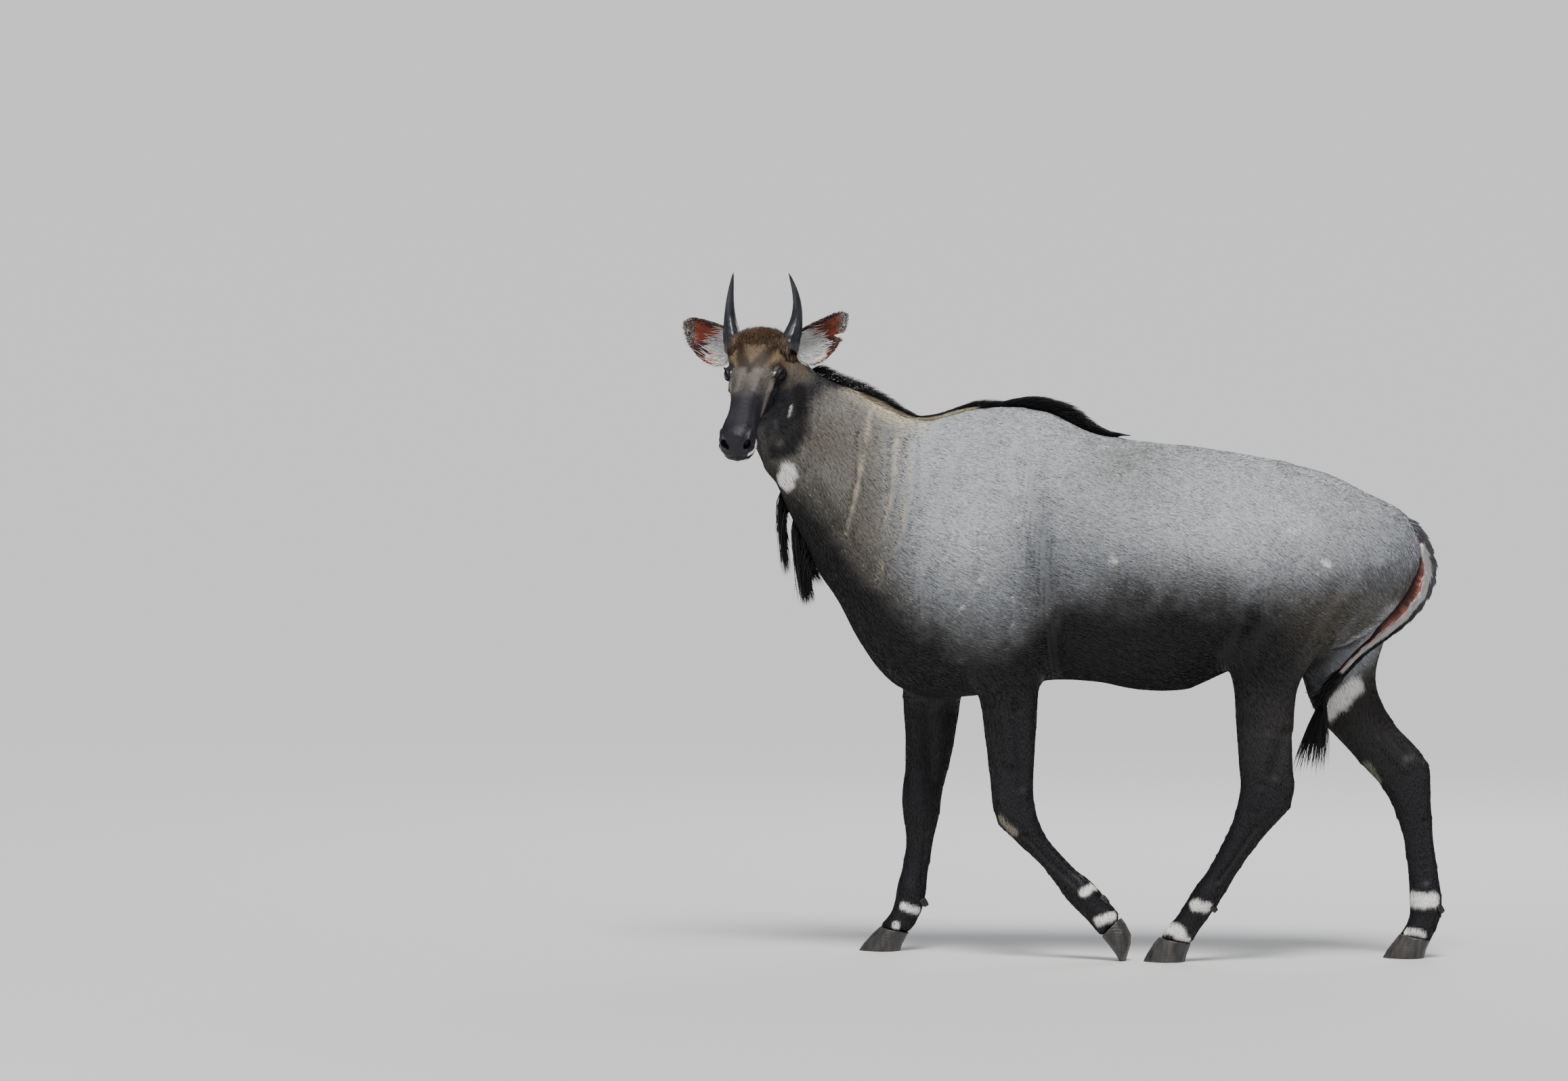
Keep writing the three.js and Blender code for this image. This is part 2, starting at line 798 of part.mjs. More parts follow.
// Locks of the tassel fall from the end of the tail
function tasselLocks(seed) {
  const random = seeded(seed);
  const [x, z] = TAIL[TAIL.length - 1];
  const list = [];
  for (let i = 0; i < TASSEL.locks; i++) {
    const around = (i / TASSEL.locks) * Math.PI * 2;
    const out = vec(Math.cos(around), Math.sin(around), -0.9).normalize();
    const root = vec(x + 6 + Math.cos(around) * 4, Math.sin(around) * 4, z + 20 - 22 * random());
    list.push(
      lock(root, out, vec(-0.3 + 0.1 * Math.cos(around), 0.06 * Math.sin(around), -1).normalize(), {
        length: TASSEL.length * (0.72 + 0.38 * random()),
        width: TASSEL.width,
        thick: TASSEL.thick,
        sink: 6,
        start: 0.9,
        end: 1.5,
        sway: (random() - 0.5) * 14,
      }),
    );
  }
  return list;
}
function fused(base, locks) {
  let made = base;
  for (const one of locks) made = made.add(one);
  return largest(made);
}

// Whole flesh: trunk, neck, head and legs
const legs = {
  left_fore: leg(LEFT_FORE, -1, FORE_SPREAD),
  right_fore: leg(RIGHT_FORE, 1, FORE_SPREAD),
  left_hind: leg(LEFT_HIND, -1, HIND_SPREAD),
  right_hind: leg(RIGHT_HIND, 1, HIND_SPREAD),
};
const ground = moved(
  new THREE.BoxGeometry(2400, 1200, 60),
  new THREE.Matrix4().setPosition(0, 0, -30),
);

// Head with lids, sockets, nostrils and the line of the mouth
function eyeBall(side, radius) {
  const middle = onHead(EYE_AT.ahead, side * EYE_AT.side, EYE_AT.up);
  const g = new THREE.SphereGeometry(radius, 12, 8);
  const m = HEAD_MATRIX.clone().setPosition(middle);
  return moved(g, m);
}
// Hairy boss of the skull that carries each horn
function hornBoss(side, grow) {
  const g = new THREE.SphereGeometry(1, 12, 8);
  g.scale(34 + grow, 27 + grow, 31 + grow);
  return moved(g, HEAD_MATRIX.clone().setPosition(onHead(-88, side * 54, 16)));
}
function lidOpening(side) {
  const g = new THREE.SphereGeometry(1, 12, 6);
  g.scale(16.5, 16, 11.5);
  const turn = new THREE.Matrix4().makeRotationX(side * -0.1);
  const middle = vec(EYE_AT.ahead + 10, side * (EYE_AT.side + 17), EYE_AT.up + 3);
  const m = HEAD_MATRIX.clone().multiply(new THREE.Matrix4().setPosition(middle)).multiply(turn);
  return moved(g, m);
}
function nostril(side) {
  const g = new THREE.SphereGeometry(1, 10, 6);
  g.scale(12, 9.5, 10);
  const turn = new THREE.Matrix4().makeRotationX(side * -0.7);
  const middle = vec(263, side * 29, -6);
  const m = HEAD_MATRIX.clone().multiply(new THREE.Matrix4().setPosition(middle)).multiply(turn);
  return moved(g, m);
}
function mouthLine() {
  const m = HEAD_MATRIX.clone().multiply(new THREE.Matrix4().makeTranslation(226, 0, -47));
  const line = moved(new THREE.BoxGeometry(120, 120, 2.6), m);
  return line.subtract(headLoft(5));
}

let head = headLoft(0);
for (const side of [-1, 1]) head = head.add(hornBoss(side, 0));
for (const side of [-1, 1]) {
  head = head.add(eyeBall(side, LID_RADIUS));
}
for (const side of [-1, 1]) {
  head = head.subtract(lidOpening(side)).subtract(eyeBall(side, EYE_RADIUS + GAP)).subtract(nostril(side));
}
head = head.subtract(mouthLine());

const body = trunk().add(neck());
let whole = body.add(head);
for (const made of Object.values(legs)) whole = whole.add(made);
whole = whole.subtract(ground);
const manes = [
  maneCore(NAPE_MANE),
  maneCore(WITHERS_MANE),
  ...maneLocks(NAPE_MANE, 7),
  ...maneLocks(WITHERS_MANE, 5),
];
whole = fused(whole, [...manes, ...beardLocks(11)]);

// Dewclaws stand in pockets behind each fetlock
const DEWCLAWS = {
  left_fore: { at: [119, 152], y: -95, lean: 1.3 },
  right_fore: { at: [-362, 122], y: 96, lean: 1 },
  left_hind: { at: [394, 136], y: -102, lean: 1 },
  right_hind: { at: [942, 124], y: 102, lean: 1 },
};
const claws = [];
for (const [name, { at, y, lean }] of Object.entries(DEWCLAWS)) {
  for (const side of [-1, 1]) {
    const place = y + side * 16;
    whole = whole.subtract(dewclaw(at, place, lean, GAP));
    const which = side * y > 0 ? "_outer" : "_inner";
    claws.push([name + "_dewclaw" + which, dewclaw(at, place, lean, 0)]);
  }
}

// Thin cuts that part the whole
const cuts = [
  // neck from head, neck from shoulders
  slab(vec(-700, -62, 1400), vec(-0.5, -0.62, 0.6), 420, 420, vec(0, 0, 1)),
  slab(vec(-417, 0, 1159), vec(-0.78, 0, 0.62), 560, 620),
  // shoulders, barrel and hindquarters
  slab(vec(214, 0, 1010), vec(1, 0, 0), 700, 740),
  slab(vec(400, 0, 1010), vec(1, 0, 0), 700, 700),
  // withers from shoulders
  slab(vec(-60, 0, 1216), vec(0, 0, 1), 640, 700),
  // legs from the body
  slab(vec(-116, -112, 612), vec(0, 0, 1), 190, 220),
  slab(vec(-350, 112, 612), vec(0, 0, 1), 190, 220),
  slab(vec(530, -114, 700), vec(0, 0, 1), 196, 250),
  slab(vec(682, 114, 700), vec(0, 0, 1), 196, 250),
  // knees and hocks
  slab(vec(-102, -104, 356), vec(0, 0, 1), 140, 170),
  slab(vec(-374, 104, 366), vec(0, 0, 1), 140, 170),
  slab(vec(507, -108, 372), vec(0, 0, 1), 140, 190),
  slab(vec(850, 108, 440), vec(0, 0, 1), 140, 240),
  // coronets
  slab(vec(137, -95, 84), vec(0.71, 0, -0.7), 120, 130),
  slab(vec(-441, 95, 54), vec(0.2, 0, 1), 120, 150),
  slab(vec(298, -101, 54), vec(0.2, 0, 1), 120, 150),
  slab(vec(874, 101, 54), vec(0.2, 0, 1), 120, 150),
];
for (const cut of cuts) whole = whole.subtract(cut);

const NAMES = {
  head: [-760, -170, 1420],
  neck: [-590, -20, 1250],
  withers: [-90, 0, 1300],
  shoulders: [-140, 0, 920],
  barrel: [307, 0, 980],
  hindquarters: [650, 0, 960],
  left_fore_upper: [-116, -108, 484],
  right_fore_upper: [-360, 108, 484],
  left_hind_upper: [528, -112, 536],
  right_hind_upper: [740, 112, 560],
  left_fore_lower: [20, -98, 220],
  right_fore_lower: [-392, 98, 210],
  left_hind_lower: [410, -102, 210],
  right_hind_lower: [890, 102, 240],
  left_fore_hoof: [156, -95, 45],
  right_fore_hoof: [-464, 95, 28],
  left_hind_hoof: [280, -101, 28],
  right_hind_hoof: [858, 101, 28],
};
const nodes = new Map();
for (const piece of whole.decompose()) {
  if (piece.volume() < 400) continue;
  const middle = middleOf(piece);
  let best = null;
  let near = Infinity;
  for (const [name, at] of Object.entries(NAMES)) {
    const d = middle.distanceTo(vec(...at));
    if (d < near) {
      near = d;
      best = name;
    }
  }
  const held = nodes.get(best);
  if (!held || held.volume() < piece.volume()) nodes.set(best, piece);
}

// Each hoof is split by its cleft
function cleft(y, from, to, high) {
  const s = new THREE.Shape();
  s.moveTo(from, -5);
  s.lineTo(to, -0.5);
  s.lineTo(to, 0.5);
  s.lineTo(from, 5);
  s.closePath();
  const g = new THREE.ExtrudeGeometry(s, { depth: high, bevelEnabled: false });
  return moved(g, new THREE.Matrix4().makeTranslation(0, y, -10));
}
const CLEFTS = {
  left_fore_hoof: [-94.5, 60, 230, 170],
  right_fore_hoof: [95, -560, -380, 120],
  left_hind_hoof: [-101, 190, 370, 120],
  right_hind_hoof: [101, 760, 940, 120],
};
for (const [name, [y, from, to, high]] of Object.entries(CLEFTS)) {
  const pieces = nodes.get(name).subtract(cleft(y, from, to, high)).decompose();
  nodes.delete(name);
  for (const piece of pieces) {
    if (piece.volume() < 400) continue;
    nodes.set(name + (Math.abs(middleOf(piece).y) > Math.abs(y) ? "_outer" : "_inner"), piece);
  }
}
for (const [name, made] of claws) nodes.set(name, made);

// Horns, ears and eyes stand against the head
const headRoom = headLoft(-GAP).add(hornBoss(1, GAP)).add(hornBoss(-1, GAP)).add(head);
for (const [word, side] of [["left", 1], ["right", -1]]) {
  nodes.set("horn_" + word, largest(horn(side, 0).subtract(headRoom)));
  nodes.set("ear_" + word, largest(ear(side).subtract(headRoom).subtract(horn(side, 1))));
  nodes.set("eye_" + word, eyeBall(side, EYE_RADIUS));
}

// Tail
const tailCurve = new THREE.CatmullRomCurve3(TAIL.map(([x, z]) => vec(x, 0, z)));
const tailSizes = TAIL.map((row, i) => [i / (TAIL.length - 1), row[2], row[3]]);
let tail = sweep(tailCurve, 18, 10, vec(0, 1, 0), (t) => along(tailSizes, t));
for (const name of ["hindquarters", "left_hind_upper", "right_hind_upper"]) {
  const from = nodes.get(name);
  tail = tail.subtract(from).subtract(from.translate([GAP, 0, -GAP]));
}
// The tassel is parted from the end of the tail
const [endX, endZ] = [TAIL[TAIL.length - 2][0], TAIL[TAIL.length - 2][1]];
const tailEnd = slab(vec(endX - 3, 0, endZ - 6), vec(-0.45, 0, -0.9), 90, 90);
const tailPieces = tail.subtract(tailEnd).decompose();
tailPieces.sort((a, b) => middleOf(b).z - middleOf(a).z);
nodes.set("tail", tailPieces[0]);
const below = tailPieces[tailPieces.length - 1];
nodes.set("tassel", fused(below, tasselLocks(3)).subtract(tailEnd));
nodes.set("tassel", largest(nodes.get("tassel").subtract(tailPieces[0])));

// Colours
const COAT = new THREE.MeshStandardMaterial({ color: 0x8f979f, roughness: 0.8, metalness: 0 });
const DARK = new THREE.MeshStandardMaterial({ color: 0x24252a, roughness: 0.75, metalness: 0 });
const HORN = new THREE.MeshStandardMaterial({ color: 0x33353a, roughness: 0.4, metalness: 0 });
const HOOF = new THREE.MeshStandardMaterial({ color: 0x4a4a4b, roughness: 0.5, metalness: 0 });
const EYE = new THREE.MeshStandardMaterial({ color: 0x0b0908, roughness: 0.08, metalness: 0 });
const EAR = new THREE.MeshStandardMaterial({ color: 0x9a8b84, roughness: 0.75, metalness: 0 });
function materialOf(name) {
  if (name.startsWith("eye")) return EYE;
  if (name.startsWith("horn")) return HORN;
  if (name.startsWith("ear")) return EAR;
  if (name.includes("hoof") || name.includes("dewclaw")) return HOOF;
  if (name === "tassel" || name.includes("fore_") || name.includes("hind_")) return DARK;
  return COAT;
}

// Meshes, moved together so that the middle of their box's underside is the origin
const group = new THREE.Group();
const box = new THREE.Box3();
for (const [name, made] of nodes) {
  const { vertProperties, triVerts } = made.getMesh();
  const g = new THREE.BufferGeometry();
  g.setAttribute("position", new THREE.BufferAttribute(new Float32Array(vertProperties), 3));
  g.setIndex(new THREE.BufferAttribute(new Uint32Array(triVerts), 1));
  g.computeBoundingBox();
  box.union(g.boundingBox);
  const mesh = new THREE.Mesh(g, materialOf(name));
  mesh.name = name;
  group.add(mesh);
}
const shift = vec(-(box.min.x + box.max.x) / 2, -(box.min.y + box.max.y) / 2, -box.min.z);
for (const mesh of group.children) mesh.geometry.translate(shift.x, shift.y, shift.z);

export default group;
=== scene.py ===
import math

import bmesh
import bpy
import numpy as np
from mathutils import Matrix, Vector
from mathutils.bvhtree import BVHTree


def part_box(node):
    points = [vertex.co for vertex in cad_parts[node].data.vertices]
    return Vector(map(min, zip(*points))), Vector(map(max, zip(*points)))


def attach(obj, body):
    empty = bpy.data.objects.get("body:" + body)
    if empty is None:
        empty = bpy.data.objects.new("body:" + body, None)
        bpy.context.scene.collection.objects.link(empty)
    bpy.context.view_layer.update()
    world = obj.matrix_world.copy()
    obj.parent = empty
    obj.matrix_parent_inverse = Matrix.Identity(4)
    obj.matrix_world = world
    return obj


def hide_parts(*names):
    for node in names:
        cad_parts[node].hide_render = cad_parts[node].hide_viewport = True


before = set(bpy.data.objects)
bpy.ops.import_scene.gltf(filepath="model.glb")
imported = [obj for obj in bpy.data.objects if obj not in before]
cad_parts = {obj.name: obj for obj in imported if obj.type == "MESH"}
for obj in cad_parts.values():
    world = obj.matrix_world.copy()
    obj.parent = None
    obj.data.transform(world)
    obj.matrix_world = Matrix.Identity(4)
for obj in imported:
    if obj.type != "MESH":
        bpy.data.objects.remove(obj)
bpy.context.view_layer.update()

# Head pose: turned from straight ahead, and nodded down
HEAD_TURN = math.radians(86)
HEAD_NOD = math.radians(34)
LEVEL = np.array([-math.cos(HEAD_TURN), -math.sin(HEAD_TURN), 0])
HEAD_LEFT = np.array([math.sin(HEAD_TURN), -math.cos(HEAD_TURN), 0])
HEAD_AHEAD = LEVEL * math.cos(HEAD_NOD) - np.array([0, 0, math.sin(HEAD_NOD)])
HEAD_UP = LEVEL * math.sin(HEAD_NOD) + np.array([0, 0, math.cos(HEAD_NOD)])
HEAD_AXES = np.array([HEAD_AHEAD, HEAD_LEFT, HEAD_UP])

# The animal's own frame: the midline of the body is y = 0, and x = 0 lies just behind the shoulders
BETWEEN_EYES = np.array([-0.756, -0.150, 1.458])
SIDES = (("left", 1), ("right", -1))


def box_middle(node):
    low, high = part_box(node)
    return np.array((low + high) / 2)


eye_middle = (box_middle("eye_left") + box_middle("eye_right")) / 2
OFFSET = BETWEEN_EYES - 0.002 * HEAD_AHEAD + 0.002 * HEAD_UP - eye_middle
EYE_RADIUS = float((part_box("eye_left")[1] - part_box("eye_left")[0]).x) / 2

# Photograph and camera
PHOTO_WIDTH, PHOTO_HEIGHT = 2316, 1596
METRES_PER_PIXEL = 0.001695
VIEW_AZIMUTH = math.radians(8)
VIEW_ELEVATION = math.radians(3.5)
CAMERA_DISTANCE = 30.0
SENSOR = 36.0
FOCAL_PIXELS = CAMERA_DISTANCE / METRES_PER_PIXEL


def make_camera():
    """Camera at the photograph's viewing angle, aimed so that the animal stands in its place."""
    a, e = VIEW_AZIMUTH, VIEW_ELEVATION
    back = Vector((math.sin(a) * math.cos(e), -math.cos(a) * math.cos(e), math.sin(e)))
    right = Vector((math.cos(a), math.sin(a), 0))
    above = Vector((-math.sin(a) * math.sin(e), math.cos(a) * math.sin(e), math.cos(e)))
    middle = Vector((0, 0, 0.85)) - Vector(OFFSET)
    aim = middle - right * 0.6983 + above * 0.1924
    data = bpy.data.cameras.new("Camera")
    camera = bpy.data.objects.new("Camera", data)
    bpy.context.scene.collection.objects.link(camera)
    data.sensor_width = SENSOR
    data.lens = FOCAL_PIXELS / PHOTO_WIDTH * SENSOR
    data.clip_end = 900
    camera.location = middle + back * CAMERA_DISTANCE
    camera.rotation_mode = "QUATERNION"
    camera.rotation_quaternion = (aim - camera.location).to_track_quat("-Z", "Y")
    bpy.context.scene.camera = camera
    bpy.context.view_layer.update()
    return camera


camera = make_camera()


# Small helpers for numbers, points and meshes
def ramp(low, high, x):
    """0 below low, 1 above high, smooth between."""
    t = np.clip((x - low) / (high - low), 0, 1)
    return t * t * (3 - 2 * t)


def paint(r, g, b):
    """Linear colour from the 0 to 255 values a screen shows."""
    c = np.array([r, g, b]) / 255
    return np.where(c <= 0.04045, c / 12.92, ((c + 0.055) / 1.055) ** 2.4)


def unit(v):
    return v / np.maximum(np.linalg.norm(v, axis=-1, keepdims=True), 1e-9)


def cloud(points, size, seed):
    """Smooth random values from 0 to 1 at points, about size metres across."""
    p = points / size + seed * 17.3
    base = np.floor(p).astype(np.int64)
    f = p - base
    f = f * f * (3 - 2 * f)
    total = np.zeros(len(points))
    for corner in range(8):
        step = np.array([corner & 1, corner >> 1 & 1, corner >> 2 & 1])
        c = base + step
        h = (c[:, 0] * 73856093) ^ (c[:, 1] * 19349663) ^ (c[:, 2] * 83492791) ^ (seed * 2654435)
        h = (h ^ (h >> 13)) * 1274126177 & 0x7FFFFFFF
        weight = np.prod(np.where(step, f, 1 - f), axis=1)
        total += weight * (h % 100003) / 100003
    return total


def points_of(mesh):
    co = np.empty(len(mesh.vertices) * 3)
    mesh.vertices.foreach_get("co", co)
    return co.reshape(-1, 3)


def set_points(mesh, points):
    mesh.vertices.foreach_set("co", np.ascontiguousarray(points, dtype=np.float32).ravel())
    mesh.update()


def normals_of(mesh):
    mesh.update()
    n = np.empty(len(mesh.vertices) * 3)
    mesh.vertices.foreach_get("normal", n)
    return n.reshape(-1, 3)


def edges_of(mesh):
    e = np.empty(len(mesh.edges) * 2, dtype=np.int64)
    mesh.edges.foreach_get("vertices", e)
    return e.reshape(-1, 2)


def settled(mesh, points, share, rounds, swell=1.04):
    """Points of a mesh, smoothed by a share each round. A swell over 0 keeps the volume."""
    points = points.copy()
    n = len(points)
    share = np.broadcast_to(share, n)
    edges = edges_of(mesh)
    a, b = edges.T
    degree = np.maximum(np.bincount(edges.ravel(), minlength=n), 1)[:, None]
    for _ in range(rounds):
        for step in (share, -share * swell) if swell else (share,):
            total = np.empty_like(points)
            for k in range(3):
                total[:, k] = np.bincount(a, points[b, k], n) + np.bincount(b, points[a, k], n)
            points += step[:, None] * (total / degree - points)
    return points


def object_from(mesh, name):
    obj = bpy.data.objects.new(name, mesh)
    bpy.context.scene.collection.objects.link(obj)
    return obj


def bmesh_of(mesh):
    bm = bmesh.new()
    bm.from_mesh(mesh)
    return bm


def mesh_from(bm, name):
    mesh = bpy.data.meshes.new(name)
    bm.to_mesh(mesh)
    bm.free()
    return mesh


def node_copy(names):
    """A bmesh with copies of these CAD nodes, doubles merged."""
    bm = bmesh.new()
    for name in names:
        bm.from_mesh(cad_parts[name].data)
    bmesh.ops.remove_doubles(bm, verts=bm.verts, dist=1e-6)
    return bm


def remeshed(bm, voxel, name):
    """One closed mesh of even squares around everything in bm."""
    rough = mesh_from(bm, "rough")
    obj = object_from(rough, "rough")
    modifier = obj.modifiers.new("Even", "REMESH")
    modifier.mode = "VOXEL"
    modifier.voxel_size = voxel
    seen = obj.evaluated_get(bpy.context.evaluated_depsgraph_get())
    mesh = bpy.data.meshes.new_from_object(seen)
    mesh.name = name
    bpy.data.objects.remove(obj)
    bpy.data.meshes.remove(rough)
    return mesh


def largest_part(bm):
    """Keeps only the largest connected surface of bm."""
    left = set(bm.verts)
    best = []
    while left:
        start = left.pop()
        found, stack = [start], [start]
        while stack:
            for e in stack.pop().link_edges:
                for v in e.verts:
                    if v in left:
                        left.remove(v)
                        found.append(v)
                        stack.append(v)
        if len(found) > len(best):
            best = found
    keep = set(best)
    bmesh.ops.delete(bm, geom=[v for v in bm.verts if v not in keep], context="VERTS")


def refined(mesh, chosen):
    """Splits in two the edges whose two ends are chosen."""
    bm = bmesh_of(mesh)
    bm.verts.ensure_lookup_table()
    edges = [e for e in bm.edges if chosen[e.verts[0].index] and chosen[e.verts[1].index]]
    bmesh.ops.subdivide_edges(bm, edges=edges, cuts=1, use_grid_fill=True)
    bm.to_mesh(mesh)
    bm.free()


def smooth_faces(mesh):
    mesh.polygons.foreach_set("use_smooth", np.ones(len(mesh.polygons), dtype=bool))
    mesh.update()


def piece_from(mesh, name, material, *nodes, smooth=True):
    """A piece of this finish that rides on the body and stands for these CAD nodes."""
    if smooth:
        smooth_faces(mesh)
    mesh.materials.append(material)
    obj = object_from(mesh, name)
    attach(obj, "root")
    if nodes:
        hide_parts(*nodes)
    return obj


def to_line(points, line):
    """Distance from each point to a line of 3-D points, and how far along it, from 0 to 1."""
    best = np.full(len(points), 1e9)
    along = np.zeros(len(points))
    line = np.asarray(line, float)
    for i in range(len(line) - 1):
        d = line[i + 1] - line[i]
        t = np.clip(((points - line[i]) @ d) / max(d @ d, 1e-12), 0, 1)
        far = np.linalg.norm(points - line[i] - t[:, None] * d, axis=1)
        nearer = far < best
        best = np.where(nearer, far, best)
        along = np.where(nearer, (i + t) / (len(line) - 1), along)
    return best, along


def own_points(mesh):
    """Corners of a mesh in the animal's own frame."""
    return points_of(mesh) + OFFSET


def put_points(mesh, q):
    """Moves the corners of a mesh to points of the animal's own frame."""
    set_points(mesh, q - OFFSET)


def in_head(q):
    """Ahead, left and up of the point between the eyes, for points of the animal's own frame."""
    h = (q - BETWEEN_EYES) @ HEAD_AXES.T
    return h[:, 0], h[:, 1], h[:, 2]


def on_head(ahead, left, up):
    return BETWEEN_EYES + np.array([ahead, left, up]) @ HEAD_AXES


HEAD_CUT = np.array([-0.700, -0.062, 1.400])
HEAD_CUT_OUT = unit(np.array([-0.5, -0.62, 0.6]))


def headness(q):
    """1 on the head, 0 on the body."""
    out = (q - HEAD_CUT) @ HEAD_CUT_OUT
    a, l, u = in_head(q)
    return ramp(-0.045, 0.015, out) * ramp(-0.24, -0.17, a) * (u > -0.2)


def legness(q):
    """1 on the legs, 0 on the body."""
    return 1 - ramp(0.60, 0.74, q[:, 2])


# Skin: one surface in place of all nodes of flesh
FLESH = ["neck", "withers", "shoulders", "barrel", "hindquarters", "head"]
for leg_name in ("left_fore", "right_fore", "left_hind", "right_hind"):
    FLESH += [leg_name + "_upper", leg_name + "_lower"]
BODY_VOXEL = 0.0122

# Lines of the bare form under the manes and behind the beard, in the animal's own frame
BACK_LINE = [
    (-0.640, 1.466), (-0.570, 1.442), (-0.496, 1.412), (-0.430, 1.372), (-0.385, 1.349),
    (-0.342, 1.347), (-0.291, 1.360), (-0.205, 1.378), (-0.100, 1.380), (-0.020, 1.364),
    (0.068, 1.318), (0.188, 1.297), (0.290, 1.289),
]
THROAT_LINE = [
    (0.661, -0.414), (0.724, -0.479), (0.800, -0.522), (0.893, -0.565), (0.978, -0.633),
    (1.139, -0.706), (1.207, -0.734),
]
back_x, back_z = np.array(BACK_LINE).T
throat_z, throat_x = np.array(THROAT_LINE).T


def make_skin():
    mesh = remeshed(node_copy(FLESH), BODY_VOXEL, "skin")
    q = own_points(mesh)
    # The locks of manes and beard come off here; finer ones grow in their place
    under_mane = (q[:, 0] > -0.625) & (q[:, 0] < 0.29)
    top = np.interp(q[:, 0], back_x, back_z)
    q[:, 2] = np.where(under_mane, np.minimum(q[:, 2], top), q[:, 2])
    front = np.interp(q[:, 2], throat_z, throat_x)
    by_beard = (q[:, 2] < 1.2) & (q[:, 2] > 0.66)
    q[:, 0] = np.where(by_beard, np.maximum(q[:, 0], front), q[:, 0])
    put_points(mesh, q)
    mesh = remeshed(bmesh_of(mesh), BODY_VOXEL, "skin")
    bm = bmesh_of(mesh)
    largest_part(bm)
    bm.to_mesh(mesh)
    bm.free()
    # Broad forms are smoothed much, legs and head little
    q = own_points(mesh)
    fine = np.maximum(headness(q), legness(q))
    share = 0.5 * (1 - 0.9 * fine)
    q = settled(mesh, q, share, 90)
    join = np.exp(-(((q[:, 2] - 0.69) / 0.07) ** 2))
    q = settled(mesh, q, 0.5 * join, 14, 0)
    put_points(mesh, q)
    # Finer squares on the legs, the head, and most on the face
    refined(mesh, np.maximum(headness(q), (q[:, 2] < 0.62) * 1.0) > 0.5)
    q = own_points(mesh)
    q = settled(mesh, q, 0.45 * np.maximum(headness(q), legness(q)), 3)
    put_points(mesh, q)
    refined(mesh, headness(q) > 0.7)
    q = own_points(mesh)
    q = settled(mesh, q, 0.45 * headness(q), 6)
    put_points(mesh, q)
    return mesh


skin_mesh = make_skin()


def tree_of(mesh):
    bm = bmesh_of(mesh)
    tree = BVHTree.FromBMesh(bm)
    bm.free()
    return tree


def seen(tree, px, py):
    """Point of the surface, in the animal's own frame, that shows at a pixel of the photograph."""
    turn = camera.matrix_world.to_3x3()
    middle = Vector((PHOTO_WIDTH / 2, PHOTO_HEIGHT / 2))
    towards = turn @ Vector(((px - middle.x) / FOCAL_PIXELS, (middle.y - py) / FOCAL_PIXELS, -1))
    towards.normalize()
    hit = tree.ray_cast(camera.location, towards)[0]
    if hit is None:
        hit = tree.find_nearest(camera.location + towards * CAMERA_DISTANCE)[0]
    return np.array(hit) + OFFSET


def seen_line(tree, pixels):
    return np.array([seen(tree, px, py) for px, py in pixels])


def both_sides(line, of_head):
    """A line and the same line on the other side of the head, or else of the body."""
    if not of_head:
        return line, line * (1, -1, 1)
    h = (line - BETWEEN_EYES) @ HEAD_AXES.T
    return line, BETWEEN_EYES + (h * (1, -1, 1)) @ HEAD_AXES


# Muscle and fold lines of the body: pixels of the photograph, reach, rise, whether on both sides
BODY_LINES = [
    ([(1512, 690), (1528, 790), (1540, 890), (1548, 975)], 0.020, -0.008, True),
    ([(1556, 915), (1548, 950), (1556, 1000)], 0.014, -0.005, True),
    ([(1412, 650), (1380, 740), (1352, 850), (1360, 930)], 0.024, -0.005, True),
    ([(1470, 660), (1452, 760), (1430, 860)], 0.030, 0.006, True),
    ([(1330, 860), (1345, 915)], 0.040, 0.008, True),
    ([(1885, 690), (1900, 700)], 0.030, 0.010, True),
    ([(1800, 735), (1790, 800)], 0.050, -0.006, True),
    ([(1900, 720), (1960, 745), (2040, 790)], 0.030, -0.005, True),
    ([(1815, 972), (1838, 925), (1850, 870)], 0.020, 0.006, True),
    ([(1835, 985), (1862, 930), (1872, 880)], 0.018, -0.0045, True),
    ([(2040, 835), (2000, 882), (1962, 940), (1935, 985)], 0.020, 0.006, True),
    ([(1985, 860), (1940, 930), (1905, 990)], 0.024, -0.004, True),
    ([(1660, 700), (1652, 900)], 0.016, -0.0022, True),
    ([(1700, 700), (1694, 900)], 0.016, -0.0022, True),
    ([(1745, 710), (1740, 890)], 0.016, -0.0022, True),
    ([(1190, 700), (1235, 780), (1290, 850)], 0.020, -0.006, True),
    ([(1268, 640), (1262, 720), (1246, 790)], 0.007, -0.0035, False),
    ([(1318, 650), (1312, 740), (1303, 770)], 0.007, -0.0035, False),
    ([(1342, 650), (1338, 730), (1326, 800)], 0.007, -0.0035, False),
    ([(1300, 835), (1296, 860)], 0.006, -0.003, False),
]
